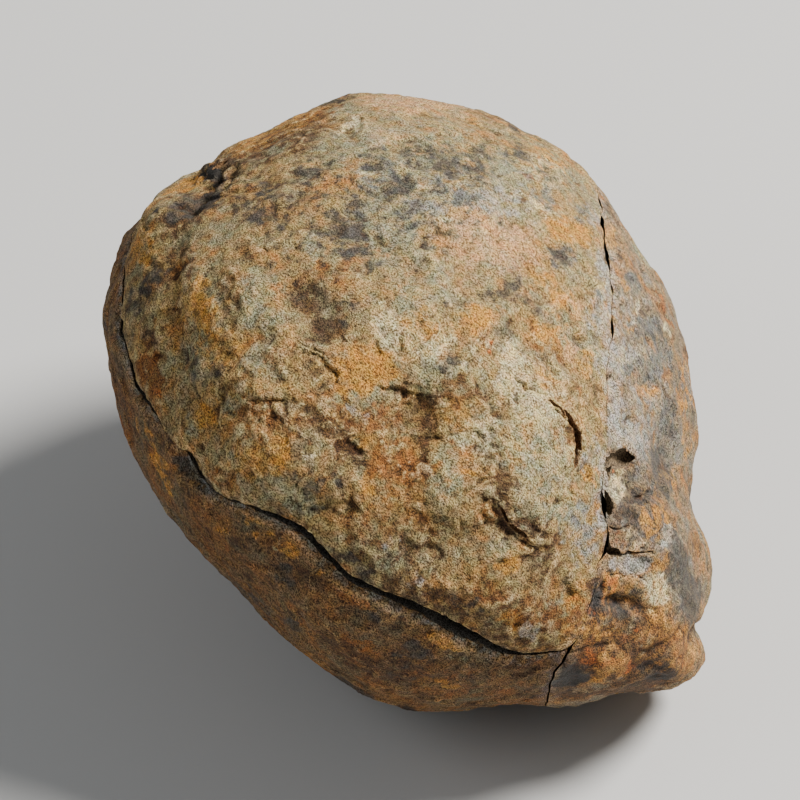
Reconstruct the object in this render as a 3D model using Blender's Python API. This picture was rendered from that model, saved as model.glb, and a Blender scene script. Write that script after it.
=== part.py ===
# Fossil-bearing nodule, split and put back together: an upper half, a lower half and an end piece.
# It lies on the small flat spot of its underside, with the split leaning up to the left.
# Metres, +Z up; the origin is the middle of the flat spot.

import math

import bmesh
import bpy
import numpy as np
from mathutils import Matrix, Vector

MM = 0.001

# The domed face looks forward and up. A face frame at the nodule's centre has a to the right,
# b up the face and d out of it.
CENTRE = Vector((-4.2, 3.4, 23.9)) * MM
FACE_TILT = math.radians(45.0)
FACE_RIGHT = Vector((1.0, 0.0, 0.0))
FACE_UP = Vector((0.0, math.sin(FACE_TILT), math.cos(FACE_TILT)))
FACE_OUT = Vector((0.0, -math.cos(FACE_TILT), math.sin(FACE_TILT)))

# Outline of the domed face, as angle round the face in degrees and radius in mm.
OUTLINE = (
    (2, 27.5), (14, 27.3), (27, 27.2), (37, 26.9), (47, 27.8), (57, 28.6), (69, 28.8), (80, 29.1),
    (91, 29.6), (99, 30.2), (109, 29.6), (118, 29.4), (126, 30.0), (132, 30.9), (140, 31.1),
    (149, 31.3), (155, 30.7), (163, 30.1), (170, 28.9), (179, 27.6), (191, 26.1), (203, 24.9),
    (215, 24.0), (228, 23.7), (238, 24.4), (252, 26.1), (261, 27.6), (270, 28.8), (279, 29.4),
    (290, 30.2), (299, 32.8), (306, 34.2), (309, 35.0), (312.5, 37.2), (316, 37.9), (319.5, 37.7),
    (322, 35.6), (329, 34.3), (335, 31.8), (339, 29.4), (345, 28.3), (354, 28.1),
)
OUTLINE_FADE = math.radians(28.0)
OUTLINE_SAMPLES = 7
FRONT_DEPTH = 27.0
BACK_DEPTH = 25.0
FULLNESS = 2.1
# The nodule is a thick lens lying oblique to the face, so its rim leans back toward this corner.
LEAN_ANGLE = math.radians(48.7)
LEAN = -0.24

# Rises and hollows: a, b on the face in mm, side (1 front, -1 back), reach and height in mm.
LUMPS = (
    (4.5, 6.0, 1, 8.0, 0.5),
    (-13.0, -3.0, 1, 3.6, 0.7),
    (-1.7, -3.3, 1, 4.6, -0.8),
    (12.0, -2.4, 1, 4.8, 0.8),
    (10.4, -10.6, 1, 4.2, 0.6),
    (-2.4, 17.0, 1, 6.0, -0.5),
    (-7.6, 11.0, 1, 5.0, 0.4),
    (-22.8, 16.6, 1, 4.2, 0.9),
    (-22.0, 5.5, 1, 5.0, -0.7),
    (8.0, -16.5, 1, 5.0, 0.5),
    (-7.0, -20.5, 1, 5.0, 0.6),
    (22.6, 3.0, 1, 5.0, -0.4),
    (24.4, -5.2, 1, 3.8, -1.2),
    (24.6, -12.4, 1, 4.2, 1.0),
    (21.0, -18.4, 1, 2.6, -1.0),
    (25.4, -23.0, 1, 3.4, 1.3),
    (18.6, -24.6, 1, 3.2, 0.6),
    (17.0, -27.6, -1, 3.6, -0.9),
    (-14.0, 8.0, -1, 9.0, 1.0),
    (6.0, 18.0, -1, 8.0, -0.9),
    (14.0, 6.0, -1, 7.0, 0.8),
    (-4.0, -4.0, -1, 7.0, 0.6),
    (-18.0, -4.0, -1, 6.0, -0.6),
    (-9.0, -16.0, -1, 9.0, 1.6),
    (15.0, -13.0, -1, 8.0, -1.6),
    (22.0, -23.0, -1, 9.0, -4.0),
)
# Ledges: side, drop and run-out in mm, then points a, b in mm with the low ground on the right hand.
LEDGES = (
    (1, 1.0, 3.5, ((11.5, 1.5), (13.2, 0.2), (15.1, -1.7), (15.8, -3.0), (15.9, -4.1), (15.6, -5.5))),
    (1, 0.45, 1.6, ((13.3, 3.5), (14.0, 2.1), (14.3, 0.4))),
    (1, 0.8, 3.2, ((-11.0, 6.3), (-8.4, 5.0), (-6.9, 4.4), (-6.0, 3.2), (-6.0, 1.1))),
    (1, 0.6, 2.2, ((-8.3, 8.6), (-7.1, 8.0), (-6.3, 6.9), (-5.9, 5.4))),
    (1, 1.0, 4.0, ((-1.3, 1.7), (0.5, 1.4), (2.8, 1.0), (2.6, -0.7), (1.9, -2.6), (1.3, -4.4))),
    (1, 0.6, 1.8, ((-14.4, 1.1), (-16.1, 0.5), (-17.0, -2.0), (-15.1, -3.3))),
    (1, 0.5, 2.2, ((-13.3, 0.8), (-11.7, 0.6), (-10.2, 0.7))),
    (1, 1.0, 3.4, ((7.7, -5.6), (8.4, -7.9), (9.1, -10.1), (10.3, -11.6), (11.8, -12.2), (13.6, -12.2))),
    (1, 0.4, 1.2, ((9.6, 3.5), (10.4, 2.2), (11.2, 0.8))),
    (1, 0.45, 2.2, ((14.9, 7.0), (16.8, 6.4), (18.6, 5.7))),
    (1, 0.5, 1.6, ((-6.7, 26.0), (-5.8, 26.6), (-4.4, 27.0))),
    (1, 1.5, 2.8, ((-17.1, 23.2), (-17.2, 21.6), (-18.1, 20.2), (-19.5, 18.4), (-20.6, 16.9))),
    (1, 0.6, 4.0, ((-19.3, 16.8), (-20.2, 13.5), (-20.8, 9.7), (-20.1, 6.0), (-19.2, 2.7), (-17.8, -1.0))),
    (1, 0.5, 1.0, ((-4.5, -7.4), (-4.1, -8.7), (-3.3, -9.9))),
    (1, 0.5, 3.2, ((-0.3, 13.6), (0.8, 15.3), (3.2, 17.0), (6.7, 18.1))),
    (-1, 1.2, 4.5, ((-16.0, 14.0), (-11.5, 16.5), (-6.5, 16.0), (-3.0, 12.5), (-2.6, 8.0))),
    (-1, 1.0, 3.5, ((4.0, 14.5), (8.5, 13.0), (11.5, 9.5), (12.0, 5.0))),
    (-1, 1.1, 4.0, ((-22.0, 2.0), (-17.5, 1.0), (-14.0, -2.5), (-13.5, -7.0))),
)
LEDGE_FACE = 0.5
LEDGE_TAPER = 1.6

# Seam between the halves. Its plane leans 60 degrees off the face; the points are distance
# along the seam, height over the plane and opening, in mm.
SEAM_LEAN = math.radians(60.0)
SEAM = (
    (-60.0, -1.5, 0.35), (-32.0, -1.4, 0.35), (-28.0, -2.0, 0.40), (-26.2, -3.4, 0.60),
    (-24.8, -4.8, 0.60), (-23.0, -4.8, 0.70), (-20.4, -5.8, 0.80), (-18.0, -5.4, 0.75),
    (-14.5, -4.7, 0.40), (-12.6, -4.7, 0.90), (-10.2, -5.4, 1.10), (-7.3, -4.5, 0.60),
    (-4.8, -2.6, 0.65), (-2.5, -1.3, 0.75), (0.7, -0.3, 0.90), (2.8, -0.6, 0.90),
    (6.7, -1.1, 1.00), (11.0, -0.2, 1.00), (14.2, 0.3, 1.30), (17.9, 0.3, 1.35),
    (20.6, 0.1, 1.00), (23.7, 0.6, 0.65), (25.4, 1.9, 0.50), (26.7, 3.1, 0.45),
    (29.0, 4.6, 0.40), (60.0, 6.0, 0.40),
)

# Break between the halves and the end piece, square to the face: b, a and opening in mm.
BREAK = (
    (60.0, 20.0, 0.40), (24.0, 18.2, 0.40), (20.0, 18.5, 0.40), (18.5, 18.9, 0.45),
    (17.5, 18.6, 0.60), (16.1, 18.8, 0.45), (13.0, 19.2, 0.35), (10.0, 19.5, 0.32),
    (6.3, 19.3, 0.32), (3.3, 18.8, 0.32), (-1.3, 18.7, 0.32), (-4.1, 18.7, 0.32),
    (-7.4, 18.3, 0.35), (-10.1, 18.4, 0.60), (-12.2, 18.9, 0.45), (-13.6, 18.7, 0.40),
    (-14.5, 17.9, 0.36), (-16.9, 17.8, 0.34), (-19.8, 16.8, 0.36), (-22.5, 15.6, 0.36),
    (-24.2, 14.7, 0.40), (-26.3, 13.5, 0.38), (-29.0, 13.2, 0.36), (-60.0, 12.0, 0.36),
)
CUT_REACH = 60.0
WELD_DISTANCE = 0.01 * MM

# Hollows where the break has lost chips: a, b, turn in degrees, and radii in mm.
CHIP_HOLLOWS = (
    (19.7, -5.5, -10.0, (1.4, 1.2, 1.9)),
    (20.4, -7.9, -12.0, (1.1, 1.9, 1.3)),
    (18.6, -9.9, 4.0, (0.8, 1.5, 2.2)),
    (19.4, -13.7, -20.0, (1.1, 0.7, 1.9)),
    (20.7, -19.1, -4.0, (1.9, 1.0, 1.6)),
)
HOLLOW_SINK = 0.2

# The mesh is made finer beside the ledges.
MESH_LEVEL = 5
FINE_REACHES = (0.9, 0.3)

COLOURS = {
    "upper_half": (0.36, 0.26, 0.14, 1.0),
    "lower_half": (0.20, 0.14, 0.08, 1.0),
    "end_piece": (0.27, 0.19, 0.12, 1.0),
}
ROUGHNESS = 0.9


def face_matrix():
    """Face frame to world, in metres."""
    axes = Matrix((FACE_RIGHT, FACE_UP, FACE_OUT)).transposed().to_4x4()
    return Matrix.Translation(CENTRE) @ axes


def outline_radius(angle):
    """Radius of the outline at each angle in radians, by smooth cubic pieces between its points."""
    knots = np.radians([point[0] for point in OUTLINE])
    radii = np.array([point[1] for point in OUTLINE], dtype=float)
    turn = 2.0 * math.pi
    knots = np.concatenate((knots[-2:] - turn, knots, knots[:3] + turn))
    radii = np.concatenate((radii[-2:], radii, radii[:3]))
    slopes = np.gradient(radii, knots)
    angle = np.mod(angle - knots[1], turn) + knots[1]
    left = np.clip(np.searchsorted(knots, angle, side="right") - 1, 1, len(knots) - 3)
    span = knots[left + 1] - knots[left]
    t = (angle - knots[left]) / span
    rise = radii[left] * (1.0 + 2.0 * t) * (1.0 - t) ** 2 + radii[left + 1] * t ** 2 * (3.0 - 2.0 * t)
    bend = slopes[left] * t * (1.0 - t) ** 2 - slopes[left + 1] * t ** 2 * (1.0 - t)
    return rise + bend * span


def body_form(directions):
    """Points in face mm of the plain leaning lens, along each unit direction."""
    across = np.hypot(directions[:, 0], directions[:, 1])
    out = directions[:, 2]
    angle = np.arctan2(directions[:, 1], directions[:, 0])
    # The outline's small turns fade toward the middle of the face and of the back.
    radius = np.zeros(len(directions))
    for offset in np.linspace(-1.0, 1.0, OUTLINE_SAMPLES):
        radius += outline_radius(angle + offset * OUTLINE_FADE * np.abs(out))
    radius /= OUTLINE_SAMPLES
    depth = np.where(out >= 0.0, FRONT_DEPTH, BACK_DEPTH)
    size = ((across / radius) ** FULLNESS + (np.abs(out) / depth) ** FULLNESS) ** (-1.0 / FULLNESS)
    points = directions * size[:, None]
    toward_corner = points[:, 0] * math.cos(LEAN_ANGLE) + points[:, 1] * math.sin(LEAN_ANGLE)
    points[:, 2] += LEAN * toward_corner
    return points


def surface_point(a, b, side):
    """Point of the plain form over a, b on the front or the back."""
    across = math.hypot(a, b)
    radius = outline_radius(np.array([math.atan2(b, a)]))[0]
    fill = max(0.0, 1.0 - (across / radius) ** FULLNESS) ** (1.0 / FULLNESS)
    depth = FRONT_DEPTH if side > 0 else BACK_DEPTH
    lean = LEAN * (a * math.cos(LEAN_ANGLE) + b * math.sin(LEAN_ANGLE))
    return np.array((a, b, side * depth * fill + lean))


def smooth_step(value):
    value = np.clip(value, 0.0, 1.0)
    return value * value * (3.0 - 2.0 * value)


def side_of_line(points, line):
    """Distance of each point to the right of a line seen on the face, and its place along it."""
    flat = points[:, :2]
    nearest = np.full(len(points), np.inf)
    right_hand = np.zeros(len(points))
    along = np.zeros(len(points))
    walked = 0.0
    for start, end in zip(np.array(line[:-1]), np.array(line[1:])):
        step = end - start
        length = np.linalg.norm(step)
        offset = flat - start
        part = np.clip(offset @ step / length ** 2, 0.0, 1.0)
        distance = np.linalg.norm(offset - part[:, None] * step, axis=1)
        to_right = offset[:, 0] * step[1] - offset[:, 1] * step[0]
        closer = distance < nearest
        nearest = np.where(closer, distance, nearest)
        right_hand = np.where(closer, np.copysign(distance, to_right), right_hand)
        along = np.where(closer, walked + part * length, along)
        walked += length
    return right_hand, along, walked


def on_side(directions, side):
    return side * directions[:, 2] > 0.0


def ledge_height(points, drop, run_out, line):
    """A steep face that drops to low ground, which climbs back over the run-out."""
    right_hand, along, length = side_of_line(points, line)
    face = smooth_step(right_hand / LEDGE_FACE)
    ends = smooth_step(along / LEDGE_TAPER) * smooth_step((length - along) / LEDGE_TAPER)
    return -drop * face * ends * np.exp(-np.maximum(right_hand, 0.0) / run_out)


def nodule_points(directions):
    """Points in face mm of the surface with its lumps and ledges."""
    points = body_form(directions)
    outward = points / np.linalg.norm(points, axis=1)[:, None]
    height = np.zeros(len(points))
    for a, b, side, reach, rise in LUMPS:
        distance = np.linalg.norm(points - surface_point(a, b, side), axis=1)
        height += rise * np.exp(-(distance / reach) ** 2)
    for side, drop, run_out, line in LEDGES:
        height += on_side(directions, side) * ledge_height(points, drop, run_out, line)
    return points + outward * height[:, None]


def mesh_directions(mesh):
    """Unit direction of each vertex from the middle."""
    coords = np.array([tuple(vertex.co) for vertex in mesh.verts])
    return coords / np.linalg.norm(coords, axis=1)[:, None]


def refine(mesh, reach):
    """Splits the edges of the unit ball that lie within reach of a ledge's face."""
    directions = mesh_directions(mesh)
    points = body_form(directions)
    close = np.zeros(len(points), dtype=bool)
    for side, drop, run_out, line in LEDGES:
        right_hand, along, length = side_of_line(points, line)
        close |= on_side(directions, side) & (np.abs(right_hand - LEDGE_FACE / 2.0) < reach)
    mesh.verts.index_update()
    edges = [edge for edge in mesh.edges if close[edge.verts[0].index] or close[edge.verts[1].index]]
    bmesh.ops.subdivide_edges(mesh, edges=edges, cuts=1)
    bmesh.ops.triangulate(mesh, faces=mesh.faces)


def add_nodule(collection, name):
    """The whole nodule as one closed mesh."""
    mesh = bmesh.new()
    bmesh.ops.create_icosphere(mesh, subdivisions=MESH_LEVEL, radius=1.0)
    for reach in FINE_REACHES:
        refine(mesh, reach)
    points = nodule_points(mesh_directions(mesh)) * MM
    for vertex, point in zip(mesh.verts, points):
        vertex.co = point
    mesh.transform(face_matrix())
    data = bpy.data.meshes.new(name)
    mesh.to_mesh(data)
    mesh.free()
    nodule = bpy.data.objects.new(name, data)
    collection.objects.link(nodule)
    return nodule


def move_to(thing, collection):
    """Puts an object in one collection only."""
    for old in list(thing.users_collection):
        old.objects.unlink(thing)
    collection.objects.link(thing)


def prism(collection, name, outline, axes):
    """Closed prism over a flat outline in mm; its height runs both ways along the third axis."""
    curve = bpy.data.curves.new(name, "CURVE")
    curve.dimensions = "2D"
    curve.fill_mode = "BOTH"
    curve.extrude = CUT_REACH * MM
    spline = curve.splines.new("POLY")
    spline.points.add(len(outline) - 1)
    for point, (x, y) in zip(spline.points, outline):
        point.co = (x * MM, y * MM, 0.0, 1.0)
    spline.use_cyclic_u = True
    flat = bpy.data.objects.new(name + "_outline", curve)
    collection.objects.link(flat)
    flat.matrix_world = axes
    bpy.context.view_layer.update()
    mesh = bpy.data.meshes.new_from_object(flat.evaluated_get(bpy.context.evaluated_depsgraph_get()))
    solid = bpy.data.objects.new(name, mesh)
    collection.objects.link(solid)
    solid.matrix_world = axes
    bpy.data.objects.remove(flat)
    bpy.data.curves.remove(curve)
    weld = bmesh.new()
    weld.from_mesh(mesh)
    bmesh.ops.remove_doubles(weld, verts=weld.verts, dist=WELD_DISTANCE)
    bmesh.ops.recalc_face_normals(weld, faces=weld.faces)
    weld.to_mesh(mesh)
    weld.free()
    hide_cutter(solid)
    return solid


def hide_cutter(cutter):
    cutter.hide_render = True
    cutter.display_type = "WIRE"


def lip(line, side):
    """One lip of a crack: its middle line moved half the opening to one side."""
    return [(along, height + side * opening / 2.0) for along, height, opening in line]


def seam_axes():
    """Along the seam, out of its plane toward the upper half, and into the stone."""
    corner = math.cos(LEAN_ANGLE) * FACE_RIGHT + math.sin(LEAN_ANGLE) * FACE_UP
    along = math.sin(LEAN_ANGLE) * FACE_RIGHT - math.cos(LEAN_ANGLE) * FACE_UP
    normal = math.sin(SEAM_LEAN) * corner + math.cos(SEAM_LEAN) * FACE_OUT
    inward = along.cross(normal)
    return Matrix.Translation(CENTRE) @ Matrix((along, normal, inward)).transposed().to_4x4()


def seam_side(collection, name, side):
    """All that lies on one side of the seam."""
    edge = lip(SEAM, side)
    far = side * CUT_REACH
    outline = edge + [(edge[-1][0], far), (edge[0][0], far)]
    return prism(collection, name, outline, seam_axes())


def break_side(collection, name, side):
    """All that lies on one side of the break."""
    edge = [(height, along) for along, height in lip(BREAK, side)]
    far = side * CUT_REACH
    outline = edge + [(far, edge[-1][1]), (far, edge[0][1])]
    return prism(collection, name, outline, face_matrix())


def ground(collection):
    """Block under the nodule whose top is the plane that the flat spot lies in."""
    size = 2.0 * CUT_REACH * MM
    bpy.ops.mesh.primitive_cube_add(size=size, location=(0.0, 0.0, -size / 2.0))
    block = bpy.context.object
    block.name = "ground_cutter"
    move_to(block, collection)
    hide_cutter(block)
    return block


def chip_hollow(collection, number, a, b, turn, radii):
    """Rounded hollow sunk in the surface."""
    middle = Vector(surface_point(a, b, 1))
    middle -= HOLLOW_SINK * middle.normalized()
    bpy.ops.mesh.primitive_ico_sphere_add(subdivisions=2, radius=1.0)
    hollow = bpy.context.object
    hollow.name = f"chip_hollow_{number}"
    move_to(hollow, collection)
    size = Matrix.Diagonal((radii[0] * MM, radii[1] * MM, radii[2] * MM, 1.0))
    spin = Matrix.Rotation(math.radians(turn), 4, "Z")
    hollow.data.transform(face_matrix() @ Matrix.Translation(middle * MM) @ spin @ size)
    hide_cutter(hollow)
    return hollow


def cut(piece, operation, cutter):
    """Boolean of a piece with one cutter."""
    step = piece.modifiers.new(cutter.name, "BOOLEAN")
    step.operation = operation
    step.solver = "EXACT"
    step.object = cutter


def finish(piece):
    """Stone material and smooth shading."""
    stone = bpy.data.materials.new(piece.name + "_stone")
    stone.use_nodes = True
    shader = stone.node_tree.nodes["Principled BSDF"]
    shader.inputs["Base Color"].default_value = COLOURS[piece.name]
    shader.inputs["Roughness"].default_value = ROUGHNESS
    stone.diffuse_color = COLOURS[piece.name]
    piece.data.materials.append(stone)
    piece.data.shade_smooth()


def main():
    for old in list(bpy.data.objects):
        bpy.data.objects.remove(old)
    nodule = bpy.data.collections.new("split_nodule")
    cutters = bpy.data.collections.new("cutters")
    bpy.context.scene.collection.children.link(nodule)
    bpy.context.scene.collection.children.link(cutters)

    upper = add_nodule(nodule, "upper_half")
    lower = add_nodule(nodule, "lower_half")
    end = add_nodule(nodule, "end_piece")

    halves_side = break_side(cutters, "halves_side", -1.0)
    end_side = break_side(cutters, "end_side", 1.0)
    upper_side = seam_side(cutters, "upper_side", 1.0)
    lower_side = seam_side(cutters, "lower_side", -1.0)
    floor = ground(cutters)

    cut(upper, "INTERSECT", halves_side)
    cut(upper, "INTERSECT", upper_side)
    cut(lower, "INTERSECT", halves_side)
    cut(lower, "INTERSECT", lower_side)
    cut(lower, "DIFFERENCE", floor)
    cut(end, "INTERSECT", end_side)

    for number, shape in enumerate(CHIP_HOLLOWS, start=1):
        cut(end, "DIFFERENCE", chip_hollow(cutters, number, *shape))
    for piece in (upper, lower, end):
        finish(piece)


main()
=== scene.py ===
# Split fossil nodule: an ironstone concretion broken into three and fitted back together,
# under a gritty weathered crust, lying on the small flat spot of its underside.
import math

import bmesh
import bpy
import numpy as np
from mathutils import Matrix, Vector, noise


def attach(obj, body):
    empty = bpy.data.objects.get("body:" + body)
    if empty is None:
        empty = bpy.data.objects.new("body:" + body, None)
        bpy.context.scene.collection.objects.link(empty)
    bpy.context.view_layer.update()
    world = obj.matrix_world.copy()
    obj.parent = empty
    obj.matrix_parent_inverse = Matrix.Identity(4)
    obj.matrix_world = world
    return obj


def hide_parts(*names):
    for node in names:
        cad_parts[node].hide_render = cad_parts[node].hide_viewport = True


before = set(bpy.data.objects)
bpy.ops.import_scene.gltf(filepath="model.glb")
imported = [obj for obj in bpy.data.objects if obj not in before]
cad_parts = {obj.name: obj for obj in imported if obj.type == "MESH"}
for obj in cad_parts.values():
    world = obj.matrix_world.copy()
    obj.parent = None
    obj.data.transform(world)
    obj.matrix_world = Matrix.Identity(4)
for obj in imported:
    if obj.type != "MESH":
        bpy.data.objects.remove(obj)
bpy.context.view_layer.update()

mm = 0.001

# The domed face looks forward and up. Its own measures are mm from the middle of the
# nodule: a to the right, b up the face, d out of it.
face = {
    "middle": (-4.2, 3.4, 23.9),
    "tilt": 45.0,
    "frontDepth": 27.0,
    "backDepth": 25.0,
    "fullness": 2.1,
    "leanAngle": 48.7,
    "lean": -0.24,
    "beddingAngle": -56.0,  # way in which the grit runs across the face
    "outlineFade": 28.0,
    "outlineSamples": 7,
    # angle round the face in degrees, radius in mm
    "outline": (
        (2, 27.5), (14, 27.3), (27, 27.2), (37, 26.9), (47, 27.8), (57, 28.6), (69, 28.8), (80, 29.1),
        (91, 29.6), (99, 30.2), (109, 29.6), (118, 29.4), (126, 29.9), (130, 29.7), (134, 30.6),
        (138, 30.9), (143, 30.5), (150, 31.2), (155, 30.7), (163, 30.1), (170, 28.9), (179, 27.6),
        (191, 26.1), (203, 24.9), (215, 24.0), (228, 23.7), (238, 24.4), (252, 26.1), (261, 27.6),
        (270, 28.8), (279, 29.4), (290, 30.2), (299, 32.8), (306, 34.2), (309, 35.0), (312.5, 37.2),
        (316, 37.9), (319.5, 37.7), (322, 35.6), (329, 34.3), (335, 31.8), (339, 29.4), (345, 28.3),
        (354, 28.1),
    ),
}

tilt = math.radians(face["tilt"])
faceRight = Vector((1.0, 0.0, 0.0))
faceUp = Vector((0.0, math.sin(tilt), math.cos(tilt)))
faceOut = Vector((0.0, -math.cos(tilt), math.sin(tilt)))
leanAngle = math.radians(face["leanAngle"])

# Fractal settings of the noise that is worked out here and not by nodes. The skew moves any
# pattern by a different amount along each axis when its seed changes.
noiseShape = {"falloff": 0.8, "octaveRate": 2.1, "seedSkew": 1.7}


def placeAxes(first, second, third):
    turn = Matrix((first, second, third)).transposed().to_4x4()
    return Matrix.Translation(Vector(face["middle"]) * mm) @ turn


faceAxes = placeAxes(faceRight, faceUp, faceOut)
beddingAngle = math.radians(face["beddingAngle"])
bedding = tuple(faceAxes.to_3x3() @ Vector((math.cos(beddingAngle), math.sin(beddingAngle), 0.0)))


def toLocal(points, axes):
    back = np.array(axes.inverted())
    return (points @ back[:3, :3].T + back[:3, 3]) / mm


def toWorld(points, axes):
    place = np.array(axes)
    return (points * mm) @ place[:3, :3].T + place[:3, 3]


def smoothStep(value, low=0.0, high=1.0):
    value = np.clip((value - low) / (high - low), 0.0, 1.0)
    return value * value * (3.0 - 2.0 * value)


def noiseAt(points, size, seed, octaves):
    spots = points / size + (seed, seed * noiseShape["seedSkew"], -seed)
    falloff, rate = noiseShape["falloff"], noiseShape["octaveRate"]
    return np.array([noise.fractal(spot, falloff, rate, octaves) for spot in spots.tolist()])


def noiseVectors(points, size, seeds):
    return np.stack([noiseAt(points, size, seed, 2) for seed in seeds], axis=1)


def outlineRadius(angle):
    outline = np.array(face["outline"], dtype=float)
    knots, radii = np.radians(outline[:, 0]), outline[:, 1]
    turn = 2.0 * math.pi
    knots = np.concatenate((knots[-2:] - turn, knots, knots[:3] + turn))
    radii = np.concatenate((radii[-2:], radii, radii[:3]))
    slopes = np.gradient(radii, knots)
    angle = np.mod(angle - knots[1], turn) + knots[1]
    left = np.clip(np.searchsorted(knots, angle, side="right") - 1, 1, len(knots) - 3)
    span = knots[left + 1] - knots[left]
    t = (angle - knots[left]) / span
    rise = radii[left] * (1.0 + 2.0 * t) * (1.0 - t) ** 2 + radii[left + 1] * t ** 2 * (3.0 - 2.0 * t)
    bend = slopes[left] * t * (1.0 - t) ** 2 - slopes[left + 1] * t ** 2 * (1.0 - t)
    return rise + bend * span


def leanOf(a, b):
    return face["lean"] * (a * math.cos(leanAngle) + b * math.sin(leanAngle))


def plainForm(directions):
    across = np.hypot(directions[:, 0], directions[:, 1])
    out = directions[:, 2]
    angle = np.arctan2(directions[:, 1], directions[:, 0])
    fade = math.radians(face["outlineFade"])
    radius = np.zeros(len(directions))
    # The outline's small turns fade toward the middle of the face and of the back.
    for offset in np.linspace(-1.0, 1.0, face["outlineSamples"]):
        radius += outlineRadius(angle + offset * fade * np.abs(out))
    radius /= face["outlineSamples"]
    depth = np.where(out >= 0.0, face["frontDepth"], face["backDepth"])
    power = face["fullness"]
    size = ((across / radius) ** power + (np.abs(out) / depth) ** power) ** (-1.0 / power)
    points = directions * size[:, None]
    points[:, 2] += leanOf(points[:, 0], points[:, 1])
    return points


# The plain form's point at a and b, on the face (side 1) or on the back (side -1).
def surfacePoint(a, b, side):
    across = math.hypot(a, b)
    radius = outlineRadius(np.array([math.atan2(b, a)]))[0]
    power = face["fullness"]
    fill = max(0.0, 1.0 - (across / radius) ** power) ** (1.0 / power)
    depth = face["frontDepth"] if side > 0 else face["backDepth"]
    return np.array((a, b, side * depth * fill + leanOf(a, b)))


# Cracks between the pieces.
cracks = {
    "seamLean": 60.0,  # degrees between the seam's plane and the face
    "reach": 60.0,
    "span": 40.0,  # mm of fine wall each way from the middle
    "spacing": 0.45,
    "bendSize": 4.5,
    "bendHeight": 0.16,
    "jagSize": 1.1,
    "jagHeight": 0.14,
    "lipJagSize": 0.8,
    "lipJag": 0.3,  # share of the opening by which each lip wanders
    "seeds": {"seam": 3.1, "breakLine": 8.4},
    "jagSeed": 20.0,  # added to a crack's own seed
    "lipSeed": 40.0,
    # along the seam, height out of its plane, opening
    "seam": (
        (-60, -1.5, 0.25), (-32, -1.4, 0.2), (-28.4, -1.9, 0.3), (-28, -2, 0.5), (-27.3, -2.5, 0.75),
        (-26.2, -3.4, 0.8), (-24.8, -4.8, 0.7), (-23, -4.8, 0.68), (-20.4, -5.8, 0.77), (-19, -5.6, 0.77),
        (-17, -5.1, 0.5), (-15.8, -4.8, 0.05), (-13, -4.7, 0.05), (-12.3, -4.7, 0.4), (-11.6, -5, 0.5),
        (-10.9, -5.4, 0.25), (-9.8, -5.6, 0.5), (-8.1, -5, 0.55), (-6.6, -4, 0.44), (-4.8, -2.6, 0.55),
        (-3.3, -1.7, 0.66), (-1.7, -1.1, 0.77), (0, -0.5, 0.88), (1.4, -0.3, 0.88), (2.8, -0.6, 0.88),
        (4.4, -0.8, 0.88), (6.7, -1.1, 0.99), (8.9, -0.6, 0.88), (11, -0.2, 0.99), (13.1, 0.3, 1.1),
        (15.6, 0.3, 1.43), (17.9, 0.3, 1.43), (20, 0.1, 1.1), (22, 0.1, 0.88), (23.7, 0.6, 0.66),
        (25.4, 1.9, 0.44), (26.7, 3.1, 0.33), (29, 4.6, 0.25), (60, 6, 0.25),
    ),
    # up the face, across it, opening
    "breakLine": (
        (-60, 12, 0.2), (-29, 13.2, 0.2), (-27.5, 13.4, 0.19), (-26.3, 13.5, 0.19), (-25.1, 13.9, 0.29),
        (-24.2, 14.7, 0.3), (-22.7, 15.4, 0.3), (-22.1, 15.9, 0.05), (-19.8, 16.8, 0.04),
        (-18.6, 17.3, 0.1), (-17.2, 17.7, 0.08), (-16.5, 17.8, 0.04), (-14.7, 17.9, 0.05),
        (-13.9, 18.5, 0.35), (-12.4, 18.9, 0.25), (-11.4, 18.8, 0.05), (-10.6, 18.5, 0.08),
        (-9.9, 18.4, 0.5), (-8.8, 18.3, 0.5), (-8, 18.3, 0.08), (-4.1, 18.7, 0.03), (-1.3, 18.7, 0.03),
        (1.5, 18.9, 0.05), (3.3, 18.8, 0.06), (5.2, 19, 0.06), (6.2, 19.3, 0.08), (6.8, 19.3, 0.3),
        (7.6, 19.4, 0.3), (8.3, 19.4, 0.06), (10.4, 19.5, 0.06), (10.9, 19.5, 0.22), (11.5, 19.4, 0.06),
        (12.5, 19.3, 0.05), (13.3, 19.2, 0.26), (14, 19.1, 0.36), (14.8, 19, 0.28), (15.5, 18.9, 0.12),
        (16.5, 18.8, 0.16), (17, 18.7, 0.4), (17.7, 18.7, 0.36), (18, 18.7, 0.06), (18.6, 18.8, 0.04),
        (18.9, 18.7, 0.2), (19.4, 18.6, 0.24), (19.9, 18.5, 0.05), (22, 18.3, 0.05), (60, 20, 0.1),
    ),
}

corner = math.cos(leanAngle) * faceRight + math.sin(leanAngle) * faceUp
seamAlong = math.sin(leanAngle) * faceRight - math.cos(leanAngle) * faceUp
seamLean = math.radians(cracks["seamLean"])
seamNormal = math.sin(seamLean) * corner + math.cos(seamLean) * faceOut
crackAxes = {
    "seam": placeAxes(seamAlong, seamNormal, seamAlong.cross(seamNormal)),
    "breakLine": placeAxes(faceUp, faceRight, faceUp.cross(faceRight)),
}


def crackLine(name, column, along):
    line = np.array(cracks[name], dtype=float)
    return np.interp(along, line[:, 0], line[:, column])


# Middle height of a crack at each place along it and down into the stone.
def crackMiddle(name, along, inward):
    flat = np.stack((along, inward, np.zeros_like(along)), axis=1)
    seed = cracks["seeds"][name]
    bend = noiseAt(flat, cracks["bendSize"], seed, 3)
    jag = noiseAt(flat, cracks["jagSize"], seed + cracks["jagSeed"], 2)
    return crackLine(name, 1, along) + bend * cracks["bendHeight"] + jag * cracks["jagHeight"]


def crackOpening(name, along):
    return crackLine(name, 2, along)


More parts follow.
